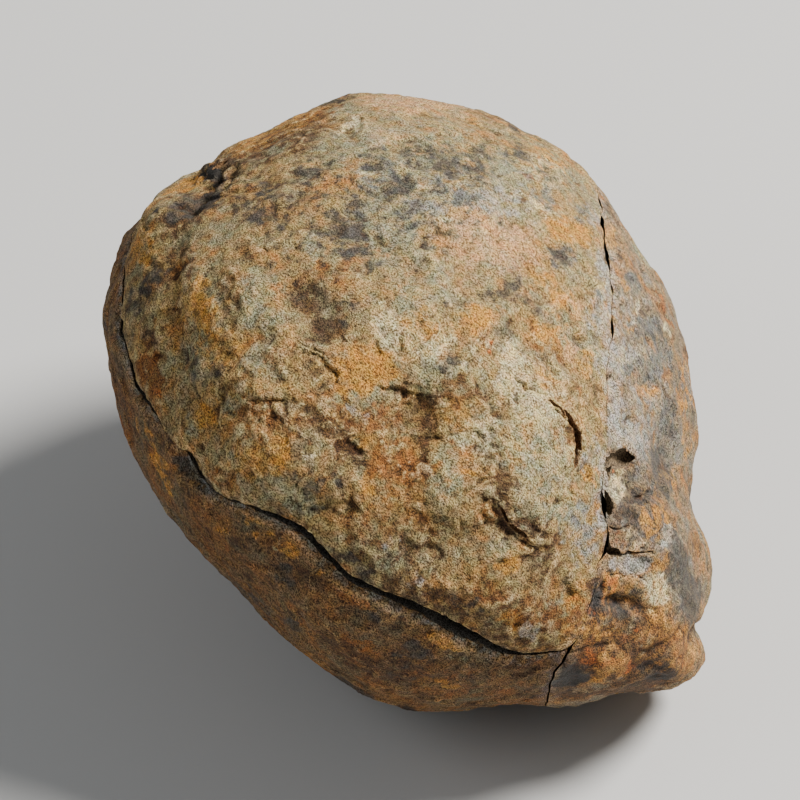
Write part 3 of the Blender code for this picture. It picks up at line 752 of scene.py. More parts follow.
# Stains on the crust, with some rows of painted shade among them: a, b, half length, half width, turn in
# degrees, strength.
stains = {
    "ochre": (
        (17.3, -23.4, 1.2, 1.6, -20, 1), (25.2, -24.8, 2, 1.2, 0, 1), (27, -24.2, 1.4, 1.6, 0, 0.9),
        (19.2, -17.6, 1.4, 0.9, 80, 1), (22.8, -11, 1, 1.9, 0, 1), (19.2, -22.4, 1.4, 1.4, 0, 1),
        (19.4, -25.2, 1.9, 0.5, 12, 1), (26, -23.4, 2, 1.6, 0, 1), (23.5, -21, 1.2, 0.7, 0, 0.8),
        (-12.5, 26, 5.3, 1.1, 24, 0.8), (-21, 21.5, 1.7, 0.8, 22, 0.7), (-19.5, 19.5, 0.8, 0.4, -10, 0.8),
        (-25, 15.5, 2.3, 0.9, 42, 0.6), (-24.5, 14, 1.2, 0.6, 12, 0.6), (-19, 9.5, 2.6, 0.9, -82, 0.7),
        (-8, 13, 0.8, 0.7, 0, 0.6), (6.5, 27, 1.1, 0.9, -20, 0.6), (5.5, 22, 1.1, 0.3, 90, 0.6),
        (14, 23.5, 2.3, 0.9, -30, 0.6), (15.5, 16.5, 2.5, 1.3, -15, 0.9), (13, 11.5, 1.3, 0.9, 0, 0.7),
        (-24, -3.5, 2.1, 0.4, -60, 0.6), (-22.5, -7, 2.1, 0.5, -66, 0.6), (-18.5, -1, 0.8, 0.8, 0, 0.9),
        (-12, -4.5, 1.4, 1, 90, 1), (-4, 3, 3, 2, 0, 0.8), (6.5, 8, 1.7, 1.3, 0, 0.8),
        (-4, -3.5, 0.6, 0.5, 0, 0.7), (-3.5, -7, 1.1, 0.7, 90, 0.7), (5.5, -6.5, 0.8, 0.4, 0, 0.8),
        (14.5, 9.5, 0.9, 0.9, 0, 0.9), (13, 6.5, 1.5, 1.1, 0, 0.8), (17, 3.5, 1.3, 1, 90, 0.6),
        (17, -6.5, 1.3, 0.7, 0, 0.7), (9.5, -14.5, 1.1, 1, 0, 0.7), (10, -20, 1.3, 0.7, 0, 0.8),
        (24, 13, 1.5, 0.8, 65, 0.6), (22.5, 1.5, 1.3, 0.6, 0, 0.7), (21.5, 7, 0.9, 0.3, 0, 0.8),
        (24.5, -7, 1.6, 1.1, 0, 0.8), (27, -3.5, 2.3, 0.5, 86, 0.5), (23.5, -11, 1.3, 1.1, 90, 0.7),
        (24, -15, 0.8, 0.8, 0, 0.8), (24, -20, 1.1, 1.1, 0, 0.7), (18, -21.5, 1.3, 1.1, 0, 0.7),
        (19, -25.5, 3.2, 0.5, 8, 0.8), (25.5, -23.5, 1.9, 1.5, 0, 0.8), (-10.5, -13.5, 1.2, 0.6, -20, 0.7),
        (3.5, -22, 1.4, 0.7, -30, 0.8), (2.5, -26, 2.4, 0.6, -6, 0.6), (-17, -11.5, 1.1, 0.6, -20, 0.5),
        (-15, -19.5, 2.5, 0.4, -42, 0.5), (-6, -16.5, 2.8, 0.4, -32, 0.5), (21.4, 7, 0.6, 0.5, 0, 1),
        (20.7, 11.2, 0.8, 0.6, 0, 0.9), (23.2, 1.3, 1.2, 0.6, 0, 0.9), (19.4, 16, 2.4, 0.5, -80, 0.7),
        (26.6, 1.5, 3.2, 0.4, 85, 0.8), (-21, 21.2, 2.2, 1, 22, 0.8),
    ),
    "rust": (
        (17.1, -23.8, 0.9, 1.3, -20, 1), (24.8, -23, 1.4, 0.8, 0, 0.8), (26.6, -25, 1.2, 0.8, 0, 0.6),
        (18.7, -6.4, 0.4, 0.7, 0, 1), (19.9, -12.1, 0.8, 1.1, 0, 0.8), (19.3, -17.6, 0.6, 1, 10, 1),
        (16.9, -23.4, 0.8, 1.4, 30, 1), (22, -22.4, 1.1, 0.7, 0, 0.9), (26, -22.8, 1.4, 1, 0, 0.8),
        (-15, 24, 3.6, 0.5, 25, 0.6), (-23.5, 18, 1.2, 0.4, -82, 0.6), (-22, 9.5, 1.5, 0.6, -82, 0.5),
        (-7, 12.5, 2.2, 1.3, 0, 0.6), (-8, 28, 2.5, 0.9, 24, 0.6), (11.5, 21.5, 0.5, 0.4, 0, 0.7),
        (-25.5, 7, 1.1, 0.8, 0, 0.5), (-24, 3, 2.2, 1, -86, 0.9), (-13.5, -1.5, 2.2, 1.7, 0, 0.7),
        (-12, 4, 0.9, 0.6, 0, 0.6), (-17, -7, 2.2, 1.1, -20, 0.6), (8, 4.5, 0.6, 0.4, 90, 0.6),
        (-3, -1.5, 2.6, 1.1, 0, 0.6), (-1, -6, 2.4, 1.7, 0, 0.8), (8, -10, 1.2, 0.6, 0, 0.7),
        (4.5, -4, 0.6, 0.4, -40, 0.7), (8, -4.5, 0.6, 0.4, 70, 0.7), (10, 0, 0.4, 0.4, 0, 0.8),
        (13.5, 5, 2.1, 1.2, 0, 0.5), (15.5, 0.5, 1.2, 1.2, 0, 0.5), (13, -20, 3.4, 1.1, 0, 0.6),
        (-5, -10.5, 2.2, 0.9, 0, 0.5), (8.5, -18, 2, 0.7, -10, 0.5), (24.3, 9.8, 1.5, 0.5, -62, 1),
        (25, 8, 0.9, 0.4, -66, 0.9), (19.5, -17.5, 0.7, 0.5, 75, 1), (17, -23.5, 1.1, 1.1, 0, 1),
        (21, -22.5, 1.3, 0.8, 0, 0.9), (28, -13.5, 2.1, 0.4, 90, 0.5), (-9, -20.5, 1, 0.6, 0, 0.7),
        (-4, -18.5, 1.7, 0.7, -24, 0.7), (-4.5, -22, 1.3, 0.7, 0, 0.8), (-17, -16.5, 1.5, 0.6, -45, 0.6),
    ),
    "moss": (
        (-23, 20, 1, 0.8, 50, 0.6), (-20.5, 13.5, 0.7, 0.6, 0, 0.7), (-13.5, 11, 1.7, 1.6, 0, 0.7),
        (-8.5, 14.5, 1.4, 0.8, 90, 0.8), (-7, 24, 2.8, 1.7, 10, 0.6), (9.5, 21.5, 1.9, 1.6, 0, 0.8),
        (16.5, 21.5, 1.4, 1.3, 0, 0.6), (-20, -2, 1, 0.7, 90, 0.7), (-16, 0, 1.1, 0.8, 90, 0.9),
        (-14, 8, 1.7, 1.4, 0, 0.7), (-13.5, 4, 1.7, 1.3, 0, 0.6), (-16, -4.5, 1.2, 0.8, 0, 0.6),
        (-10, -9.5, 1.6, 1, 0, 0.8), (0.5, 9.5, 2, 1.2, 0, 0.6), (2, 7.5, 1.3, 1.2, 0, 0.7),
        (3.5, 2.5, 2.6, 1.3, 0, 0.7), (8.5, 8, 1.7, 1.3, 90, 0.6), (-3, 1.5, 1, 0.5, 0, 0.8),
        (0, -2.5, 0.7, 0.7, 0, 0.9), (-1, -4, 1, 0.6, -75, 0.9), (4, -7.5, 1.5, 1.5, 0, 0.8),
        (13, -3.5, 1.9, 1.1, 0, 0.6), (12, -6.5, 2.8, 1.5, 0, 0.5), (13, -10, 3, 1.2, 0, 0.8),
        (-3, -12.5, 1.1, 0.8, 90, 0.6), (-1.5, -14.5, 1.1, 0.8, 90, 0.8), (22, 4.5, 2.1, 0.8, -20, 0.6),
        (19.5, -22, 0.9, 0.7, 0, 0.6), (-11.5, -13, 0.8, 0.5, 0, 0.6), (5, -24, 1.5, 0.5, 0, 0.5),
    ),
    # Brown stains; the rows in the end stone's void and in the notch at the upper left are painted shade.
    "umberAndShade": (
        (13, -12.2, 1.3, 0.9, -30, 0.9), (-21.2, 18.4, 2.2, 1.6, 30, 1), (21.3, -4.6, 1.6, 0.5, 0, 0.8),
        (20.1, -4.4, 1.5, 0.4, 0, 0.9), (-20.2, 17.8, 4.4, 0.7, 48, 0.6), (-17.6, 21.9, 1.3, 0.6, 70, 1),
        (15.7, -5.6, 0.9, 0.3, -78, 1), (19.2, -27.1, 4, 0.6, 12, 0.8), (24.3, -26.4, 1.4, 0.6, 10, 0.9),
        (20, -5.1, 1.4, 0.6, -4, 1), (21.3, -5.4, 0.7, 0.5, -30, 0.9), (18.8, -10.6, 0.5, 0.9, 14, 0.9),
        (20.6, -18.9, 2.1, 0.7, -8, 1), (18, -18.2, 1.8, 0.5, 75, 1), (19.4, -19.6, 1, 0.6, 0, 0.8),
        (15.2, -25.4, 1.5, 1.2, 40, 0.8), (21.8, -25.8, 2.2, 0.6, 12, 0.9),
        (24.6, -25.4, 0.9, 0.4, -20, 0.9), (20.2, -10.4, 1.2, 0.8, 0, 0.6), (15.9, -4, 1.9, 0.3, -78, 0.9),
        (1.5, -1.2, 1.2, 2.4, 0, 0.42), (12.6, -11.9, 1.3, 0.6, 20, 0.8), (9.8, -10.6, 1.6, 0.4, -55, 0.7),
        (-20.5, 18.5, 2.1, 0.9, 10, 0.8), (-22.5, 12.5, 3.2, 1.4, 28, 0.54),
        (-20, 10.5, 3.7, 0.6, -76, 0.42), (-9.5, 10, 1.5, 1.3, 0, 0.7), (-24, 6.5, 1.3, 1.1, 90, 0.7),
        (-27, 0.5, 4.7, 0.9, -68, 0.5), (-17, 2, 1.9, 1.3, 0, 0.36), (-7.5, 7.5, 1.8, 1.1, -38, 0.9),
        (6.5, 7, 0.6, 0.5, 0, 0.6), (1, 0.5, 2.2, 0.7, -12, 0.54), (2, -3, 3, 0.7, 90, 0.54),
        (-6, -3.5, 2.6, 0.7, -42, 0.8), (8.5, -7.5, 1.7, 1.1, -80, 0.8), (11, -11.5, 2.2, 0.6, -12, 0.8),
        (13, -12.5, 0.8, 0.7, 0, 0.7), (3, -17.5, 2.8, 0.6, -12, 0.7), (21, -1.5, 0.8, 0.7, 0, 0.6),
        (18, -18, 1.5, 0.8, 90, 0.7), (20.5, -19, 1.7, 0.8, 0, 1), (22, -24.5, 1.7, 0.7, -24, 0.7),
        (23, -27, 2.8, 0.5, 20, 0.8), (-10, -16, 2, 1.5, -30, 0.6), (-5.5, -23, 2.4, 0.7, -24, 0.7),
        (-18.5, -13, 1.9, 0.8, -45, 0.5), (10.5, -24.5, 2.8, 0.7, 0, 0.6), (14.5, -27, 1.9, 0.9, 0, 0.8),
    ),
    "slate": (
        (-20.4, -5.8, 1.3, 0.8, -62, 1), (-18.8, -7.5, 1.3, 0.4, -40, 0.8),
        (-18.7, 19.4, 2.1, 0.6, 50, 0.9), (-18.4, 21.8, 1.8, 0.8, -40, 1), (-21.4, 18.6, 1.8, 1.2, 30, 0.8),
        (22, -8.9, 1.1, 0.4, 42, 0.9), (21.1, -7.4, 0.4, 1.2, 10, 0.6), (24, -5.3, 0.9, 0.6, 0, 0.4),
        (24.8, -15.5, 0.8, 1.8, 20, 0.6), (26.2, -18.4, 1.3, 2.6, 10, 1), (14.9, -25.4, 1.2, 1.2, 40, 0.6),
        (20.6, -20.3, 1.4, 0.6, 0, 0.6), (16.8, -23.9, 0.5, 0.4, 0, 0.8), (20.4, -19.3, 1.9, 0.9, -6, 1),
        (23.8, -24.9, 1.8, 1.2, 0, 0.7), (17.9, -19, 1.8, 0.5, 78, 1), (15.3, -25.6, 1.8, 1, 30, 0.9),
        (-18, 20.5, 1, 0.7, 60, 0.56), (-24, 12, 1.7, 0.7, 25, 0.6), (-25, 10, 2.1, 1.1, 40, 0.64),
        (-14, 17.5, 1.2, 0.9, 0, 0.7), (-12, 17, 1.2, 0.7, 0, 0.7), (-13.5, 20, 0.9, 0.8, 0, 0.6),
        (-9, 21.5, 0.8, 0.6, 0, 0.8), (-3, 23, 1.5, 0.8, 50, 0.5), (-5.5, 16, 1.5, 0.7, 0, 0.9),
        (-5, 19, 0.9, 0.8, 0, 0.7), (-6.5, 17.5, 0.7, 0.7, 0, 0.8), (-5, 14.5, 1.1, 0.7, 0, 0.7),
        (-3.5, 13, 1.3, 0.8, 0, 0.6), (-0.5, 20.5, 1.2, 1, 0, 0.75), (2.5, 23.5, 2.5, 1.2, 0, 0.5),
        (4, 22, 0.9, 0.7, 0, 0.8), (7, 23, 1.9, 1.2, 90, 0.5), (2, 15, 0.4, 0.3, 0, 0.7),
        (8.5, 10.5, 1.9, 0.7, 18, 0.9), (4, 9, 0.6, 0.4, 0, 1), (3, 6, 0.5, 0.3, 0, 0.6),
        (-5, 9, 1.1, 0.5, 0, 0.7), (10.5, 24, 1.4, 1, -10, 0.6), (13.5, 22, 0.9, 0.6, -20, 0.5),
        (14.5, 14, 1.1, 1, 0, 0.8), (10, 12, 1.2, 0.9, 90, 0.6), (11, 9.5, 1.5, 0.7, 0, 0.6),
        (11.5, 8.5, 0.8, 0.6, 0, 0.7), (-20.5, 4.5, 1.4, 0.7, -70, 0.34), (-19.7, 2.8, 2, 0.6, -80, 0.6),
        (-15, -3.5, 0.9, 0.3, -28, 0.48), (-17.4, 3.2, 1.5, 0.6, 8, 0.6), (-16, 7.5, 0.9, 0.5, -70, 0.38),
        (-9.5, -6.5, 1.6, 1.2, 0, 0.54), (-8.5, -8.5, 1.5, 0.8, -80, 0.54), (-5.5, 7, 0.8, 0.6, 0, 0.6),
        (4, 4, 1.4, 0.5, 22, 0.8), (1.5, 3, 0.8, 0.8, 0, 0.3), (9, 6.5, 1.9, 1.2, 90, 0.4),
        (-6, -7, 0.8, 0.5, 0, 0.6), (6, -18.5, 2.4, 0.5, -22, 0.6), (-6, -14, 1.3, 0.7, -35, 0.8),
        (-4, -15.5, 1, 0.7, -30, 0.7), (21.5, 12, 1.2, 0.8, -10, 0.4), (21.5, 14.5, 0.9, 0.7, 0, 0.3),
        (23, 6.5, 2.7, 0.9, 0, 0.35), (22.5, 2.5, 0.9, 0.8, -30, 0.35), (25.5, 3, 1.5, 1, 90, 0.35),
        (25, -2, 2.5, 0.9, 84, 0.35), (24, -5, 1.2, 0.8, 0, 0.45), (26, -14.5, 2.5, 0.8, -80, 0.9),
        (27.5, -18.5, 2.1, 0.8, 90, 0.7), (-11, -16, 1.2, 1.2, 0, 0.7), (-10.5, -20.5, 1.1, 1, 0, 0.8),
        (-2.5, -20, 1.5, 0.6, -20, 0.6), (0.5, -23, 1.5, 0.7, -10, 0.8), (6, -25.5, 1.1, 0.9, 90, 0.5),
        (-14, -18.5, 1.5, 0.7, -40, 0.6),
    ),
    "cream": (
        (-3.6, 21.5, 1.2, 0.5, 20, 1), (1.5, 20.2, 1.4, 0.4, -20, 1), (6, 23.4, 1.4, 0.4, 0, 1),
        (-1.5, 16.8, 1, 0.5, 30, 1), (3.4, 17.4, 1, 0.4, 0, 0.9), (9.5, 20, 1.2, 0.4, -30, 1),
        (12.6, 18.6, 1.2, 0.5, -40, 0.9), (19.9, -7.9, 1, 1.5, 0, 1), (21, -12.2, 0.9, 1, 0, 0.8),
        (23.6, -17.9, 1, 2.4, -10, 0.9), (22.4, -10.4, 1.2, 0.9, 0, 0.6), (19.5, -23, 0.8, 0.7, 0, 0.7),
        (-8.5, 15.5, 0.7, 0.5, 90, 0.7), (-5.5, 26.5, 1.4, 0.5, 12, 0.9), (0, 22.5, 1.1, 0.8, 0, 0.6),
        (1, 16.5, 1.9, 0.5, 42, 0.7), (3, 23, 0.6, 0.6, 0, 0.5), (14, 23, 1.3, 0.6, -20, 0.6),
        (13.5, 20, 1.6, 0.5, 78, 0.6), (18.5, 10.5, 0.8, 0.5, -80, 0.8), (-9, -4.5, 0.7, 0.5, 0, 0.9),
        (-2, 7, 2, 1.5, 90, 0.7), (9.5, 3.5, 2.4, 1.1, 70, 0.7), (6, -3, 2.2, 1.3, 0, 0.5),
        (12, 0.5, 2.8, 2.2, 90, 0.5), (15, -5, 1.9, 1.1, 0, 0.4), (4, -14, 1.8, 1.2, 0, 0.4),
        (23.5, -17.5, 1.5, 0.9, 90, 0.6), (21.7, 9, 1.2, 0.4, 80, 0.9), (20.4, 4.1, 0.8, 0.6, 0, 0.9),
        (24.9, 6.9, 0.7, 0.4, 80, 0.9), (22.4, 5, 0.5, 0.4, 0, 0.8), (11.4, -20.6, 0.5, 0.4, 0, 1),
        (12, -22, 0.4, 0.5, 0, 1), (-17.3, 5.4, 1.3, 1.6, 0, 0.6),
    ),
    "pink": (
        (0.5, 29, 4.3, 0.9, -2, 0.7), (-2, 25, 2.1, 1, 0, 0.7), (7.5, 15.5, 4.1, 1.9, -18, 0.9),
        (15.5, 5, 1.1, 0.8, 90, 0.9), (16, 9, 0.9, 0.8, 0, 0.6), (12.5, -14.5, 2.8, 1.7, 0, 0.2),
        (21.5, 16.5, 2.3, 1.6, 60, 0.6), (21.5, -12.5, 1.7, 0.8, 0, 0.9),
    ),
    "lilac": (
        (18.2, -5.9, 0.5, 1.6, 4, 1), (18.4, -10.8, 0.4, 0.9, 12, 1), (18.6, -7.5, 0.35, 1.2, 8, 1),
        (21, -15.1, 1.7, 0.9, 0, 1), (24.4, -13.2, 0.8, 0.8, 0, 1), (20.5, -10.6, 0.3, 0.3, 0, 1),
        (7.5, 19, 2.8, 0.9, 0, 0.6), (2, 18.5, 1.5, 0.7, 0, 0.6), (17.5, 18, 1.1, 1, 0, 0.7),
        (-5, -0.5, 1.3, 0.6, -20, 0.7), (18, 8, 1.9, 0.9, 90, 0.7), (11.5, -21, 1.1, 0.8, 90, 0.8),
        (1, -16.5, 1.3, 0.6, -10, 0.6), (-1.5, -13, 0.7, 0.6, 0, 0.5), (18.5, 13, 1.1, 0.5, 90, 0.8),
        (19, 11, 1.3, 0.5, 90, 0.8), (19, 4, 2.8, 0.8, 90, 0.7), (19.5, -1.5, 2.4, 0.8, 90, 0.8),
        (18.5, -7.5, 2.1, 0.6, 90, 0.9), (18.5, -10.5, 0.9, 0.5, 90, 0.8), (21.5, -3.5, 1.7, 1.5, 0, 0.7),
        (21, -15, 1.9, 0.7, 0, 1), (24.5, -13, 1.1, 1, 0, 0.9), (9, -23.5, 2.2, 0.3, -14, 0.6),
    ),
    "ash": (
        (-2, 21.4, 2.2, 1.9, 70, 0.5), (4.4, 22.3, 3.2, 1.5, 0, 0.34), (5.3, 19.4, 1.8, 1, 0, 0.7),
        (10.2, 23.6, 1.1, 0.9, 0, 0.7), (13.3, 19.9, 2, 0.7, 90, 0.7), (-5.5, 16.3, 2.4, 1.6, 90, 0.7),
        (0.8, 17, 2.6, 1, 10, 0.4), (14.6, 14, 1.4, 1.2, 0, 0.8), (16.9, 18, 1.4, 0.8, 90, 0.7),
        (21.2, 11.7, 1, 0.8, 0, 0.9), (22.9, 7.3, 1.7, 1, 10, 0.9), (23.6, 3.4, 1.3, 1.2, 0, 0.8),
        (26.3, 2.2, 1.1, 0.5, 90, 0.9), (21, 3.3, 0.9, 0.6, 0, 0.9), (24.6, 5.2, 1.4, 0.8, 90, 0.7),
        (24.8, -1, 2, 0.7, 88, 0.7), (17.8, 9, 2.2, 0.5, 88, 0.6), (15, 13.6, 1.2, 1, 0, 0.5),
    ),
    # Dark patches, painted shade: in the notch and the valley at the upper left, on the end stone's dark
    # patch and along its bottom; strewn on the back they are dark stains.
    "darkStainAndShade": (
        (20.4, -19.1, 1.8, 0.9, -6, 0.9), (18, -18.9, 1.6, 0.4, 78, 0.9), (15.2, -25.7, 1.7, 0.9, 30, 0.9),
        (24.4, -25.7, 1.5, 0.6, 0, 0.8), (-18.2, 22, 1.5, 0.6, -42, 0.86), (-18.6, 19.6, 1.8, 0.4, 50, 0.6),
        (-21.3, 18.6, 1.3, 0.5, 30, 0.45), (26.4, -17.4, 1.5, 0.5, 80, 0.4),
    ),
    "ember": (
        (24.4, 9.8, 0.4, 1.3, 28, 0.5), (25, 7.9, 0.4, 0.7, 20, 0.4), (19.2, -17.5, 1.2, 0.5, 80, 1),
        (7.8, 4.9, 0.35, 0.4, 0, 0.6), (17, -23.7, 0.8, 0.8, 0, 0.7), (18.9, -5.9, 0.4, 0.4, 0, 0.8),
        (17.6, -20.3, 0.5, 0.9, -20, 0.6), (21.5, -22, 0.8, 0.5, 0, 0.6), (22.3, 1.2, 0.5, 0.35, 0, 0.5),
        (5.4, -4.4, 0.4, 0.35, 0, 0.5), (-23.4, 0.5, 0.8, 1.3, 0, 0.4),
    ),
}

# Broad washes of the same stains, thin enough to break up into grains; a few of them are painted shade, and
# one is a painted highlight.
washes = {
    "moss": (
        (4, 23, 9, 4, -12, 0.4), (-13.7, -4.6, 2.2, 2, 0, 0.2), (-10, -8, 2, 2, 0, 0.4),
        (1.3, 5.4, 2, 1.6, 0, 0.3), (-2.5, 15.5, 1.8, 1.6, 0, 0.5), (-1, 18.5, 3, 3.5, 0, 0.6),
        (10, -2, 7, 5, -50, 0.36), (1, 20, 11, 7, 0, 0.34), (-12, 9, 5, 9, 20, 0.24),
        (14, -9, 5, 4, 0, 0.3), (-2, 9, 5, 4, 0, 0.2),
    ),
    "slate": (
        (20, -9.5, 1.6, 3, 0, 0.4), (0, -25, 3, 1.2, -8, 0.4), (20, -9.8, 2.4, 1.6, 0, 0.3),
        (5, 0.4, 2, 2, 0, 0.2), (20.5, -14.8, 2, 1, 0, 0.3), (-1, 17.5, 3, 3, 0, 0.15),
        (24, -6.8, 1.6, 2.4, 0, 0.6), (-9, 13, 4, 4, 0, 0.34), (-14, 19, 2.5, 1.5, 0, 0.3),
        (23, -9.5, 3, 6.5, 0, 0.36), (-1, 19, 9, 5, -15, 0.4), (24, 2, 8, 3, 95, 0.26),
        (-25, 8, 7, 3, 75, 0.1), (-13, 20, 6, 3.5, 30, 0.2), (9, 22, 6, 2.6, -20, 0.24),
    ),
    # the row at the notch, (-17.4, 22.3), is painted shade
    "umberAndShade": (
        (1, -17.6, 7, 1.1, -24, 0.6), (10, -22.6, 4, 0.9, -12, 0.5), (-11, -11, 4, 1, -36, 0.24),
        (12.5, -14, 1.6, 2.6, 0, 0.5), (16.2, -14.7, 1.6, 1.6, 0, 0.34), (-8, 5.4, 2.6, 1.6, 0, 0.34),
        (-0.5, -25, 3.4, 1.4, -8, 0.5), (-17.4, 22.3, 2, 1.5, 0, 0.6), (20, -11.6, 1.4, 1.4, 0, 0.4),
        (5, 0.4, 2.2, 2.2, 0, 0.4), (-6.2, -1.3, 1.6, 1.6, 0, 0.64), (1.3, -8, 1.6, 2, 0, 0.4),
        (12.5, -11.6, 1.8, 1, -30, 0.7), (16.2, -24.8, 2, 1.6, 0, 0.5), (23.7, -25.8, 2.5, 1, 0, 0.6),
        (-2, -25, 5, 2, -10, 0.4), (8.7, -8, 1.8, 1.6, 0, 0.5), (10.5, -20, 5, 2.6, -15, 0.32),
        (-9.5, 13.5, 4.5, 4, 0, 0.34), (-13.5, 19, 3, 2, 20, 0.3), (-1, -13, 4, 3, 0, 0.3),
        (-10, -1.2, 2, 1.6, 0, 0.55), (5, 0.6, 2.2, 2, 0, 0.3), (-10, 25.5, 4, 1.2, 20, 0.4),
        (22.5, -9.5, 3, 6.5, 0, 0.5), (-25.5, 4, 12, 3, 75, 0.16), (-12, 20.5, 7, 4, 32, 0.38),
        (21, -21, 4, 4, 0, 0.3), (-8, -8, 10, 4, -35, 0.26), (6, -14, 9, 4, -25, 0.28),
        (21, -23, 7, 3, 10, 0.3), (-3, -2, 5, 4, 0, 0.24), (-13, 25, 8, 2, 28, 0.4),
        (22, -22.5, 5, 3, 0, 0.3),
    ),
    "ochre": (
        (-6.2, -1.3, 1.6, 1.6, 0, 0.7), (-13.7, -4.6, 2, 1.8, 0, 0.6), (-17.4, 5.4, 1.8, 1.8, 0, 0.5),
        (-13.7, -11.2, 1.6, 1.2, -30, 0.5), (1.3, 7.2, 1.6, 2.4, 0, 0.5), (5, -21.5, 1.8, 1.4, 0, 0.6),
        (5, -1.3, 1.6, 1.4, 0, 0.4), (12.5, 2, 1.5, 1.5, 0, 0.5), (16.2, -21.5, 2, 1.6, 0, 0.7),
        (5, 0.4, 2.4, 2.4, 0, 0.5), (16.2, -18.2, 2.4, 1.8, 0, 0.6), (20, -24.6, 3, 1.2, 0, 0.8),
        (0, -7, 4.5, 4, 0, 0.45), (2, -15, 9, 4, -20, 0.3), (-22, 10, 4, 9, 20, 0.3),
        (-14, -2, 6, 4, 0, 0.3), (12, 7, 6, 4, 0, 0.26), (-6, 4, 6, 4, 0, 0.2), (-16, 8, 3, 8, 10, 0.2),
        (22, -21, 5, 4, 0, 0.4), (22, -12, 3, 5, 0, 0.4), (24.5, -23.5, 3, 2.4, 0, 0.6),
        (-13, 20, 6, 3, 30, 0.25),
    ),
    "rust": (
        (13.6, -15, 1.4, 1.4, 0, 0.3), (0, -6, 8, 4, -20, 0.3), (25, -24.6, 2.4, 2, 0, 0.5),
        (-10, -3, 6, 4, 0, 0.22), (22, -22, 5, 4, 0, 0.3), (12, -19, 6, 3, -20, 0.3),
    ),
    "cream": (
        (-13.7, -3.6, 2.4, 2.2, 0, 0.6), (-10, -8, 2, 2, 0, 0.64), (-13.7, -1.3, 1.6, 1.4, 0, 0.4),
        (5, -21.5, 1.8, 1.4, 0, 0.5), (-2.5, 16, 1.6, 1.4, 0, 0.3), (12.5, 22.3, 1.8, 1.4, 0, 0.4),
        # the row at (12.4, -4.6) is a painted highlight on the top of the dome
        (1.3, 5.4, 2, 1.6, 0, 0.7), (-13.7, -4.6, 2, 2, 0, 0.3), (12.4, -4.6, 2.4, 2.2, 0, 0.5),
        (10, -1, 7, 5, -50, 0.3), (4, 8, 5, 4, 0, 0.26), (12, 20, 6, 4, -30, 0.26), (22, 8, 3, 8, 10, 0.14),
    ),
    "pink": (
        (8, 14, 8, 5, -15, 0.36), (3, 28, 8, 2.5, 0, 0.4), (12, 3, 6, 5, 0, 0.24), (21, 14, 4, 8, 20, 0.3),
    ),
    "ash": (
        (1, 20.5, 7, 4, -10, 0.24), (23, 5, 3.4, 8, 5, 0.24), (16.4, -11.4, 1.6, 2, 0, 0.5),
    ),
    # painted shade in the valley below the lobe at the upper left
    "darkStainAndShade": (
        (-21.3, 18.4, 1.8, 1.4, 30, 0.1),
    ),
    "ember": (
        (20, -24.4, 2.4, 0.8, 0, 0.5), (16.4, -18.2, 1.6, 1.4, 0, 0.3),
    ),
    "lilac": (
        (0, 20, 6, 3.5, -10, 0.35), (8, 21, 6, 2.4, -20, 0.35), (16.2, -12, 1.8, 2.5, 0, 0.6),
        (17, -4.8, 1.6, 1.8, 0, 0.5), (22.5, 2, 4, 11, 5, 0.5), (21.5, -13, 3, 3, 0, 0.3),
        (17.5, 12, 2, 6, 0, 0.2),
    ),
}

# Stains of the back and of the sides, strewn over what the face's own stains leave bare.
strewn = {
    "seed": 21,
    "counts": {
        "ochre": 40, "rust": 44, "moss": 30, "umberAndShade": 40, "slate": 60, "cream": 14, "pink": 10,
        "lilac": 14, "ember": 6, "ash": 10, "darkStainAndShade": 8,
    },
    "smallest": 0.8,
    "largest": 3.6,
    "slimmest": 0.35,  # width over length, and by how much more it can be
    "widerBy": 0.5,
    "strength": (0.5, 0.95),
    "faint": {"ochre": 0.7, "cream": 0.6, "lilac": 0.5, "ash": 0.8, "ember": 0.4},
    "frontLimit": 0.12,  # how far round to the face a stain can come
}

paint = {
    "spread": 1.25,
    "warpSize": 1.7,
    "warp": 0.9,
    "fineWarpSize": 0.5,
    "fineWarp": 0.3,
    "core": 0.45,
    "rim": 1.4,
    "depthReach": 1.8,
    "lipReach": 0.7,
    "lipOpening": 0.45,  # opening at which a lip is coloured in full
    "lipLeast": 0.2,
    # rounds of smoothing, and gain of the dent that they show
    "dents": {"dentSmall": (2, 6.0), "dentBroad": (24, 2.2)},
    "sharpAngle": 62.0,
}


def stainMask(points, middle, length, width, turn, strength):
    offset = points - middle
    along, across = turned(offset[:, 0], offset[:, 1], turn)
    length, width = length * paint["spread"], width * paint["spread"]
    deep = offset[:, 2] / (length * paint["depthReach"])
    distance = np.sqrt((along / length) ** 2 + (across / width) ** 2 + deep ** 2)
    return strength * smoothStep(paint["rim"] - distance, 0.0, paint["rim"] - paint["core"])


def strewnPlaces():
    chance = np.random.RandomState(strewn["seed"])
    smallest, largest = strewn["smallest"], strewn["largest"]
    places = {}
    for name, count in strewn["counts"].items():
        rows = []
        while len(rows) < count:
            direction = chance.normal(size=3)
            direction /= np.linalg.norm(direction)
            length = smallest + (largest - smallest) * chance.rand() ** 2
            width = length * (strewn["slimmest"] + strewn["widerBy"] * chance.rand())
            turn = chance.uniform(-90.0, 90.0)
            strength = chance.uniform(*strewn["strength"]) * strewn["faint"].get(name, 1.0)
            if direction[2] < strewn["frontLimit"]:
                rows.append((direction, length, width, turn, strength))
        middles = plainForm(np.array([row[0] for row in rows]))
        places[name] = [(middle,) + row[1:] for middle, row in zip(middles, rows)]
    return places


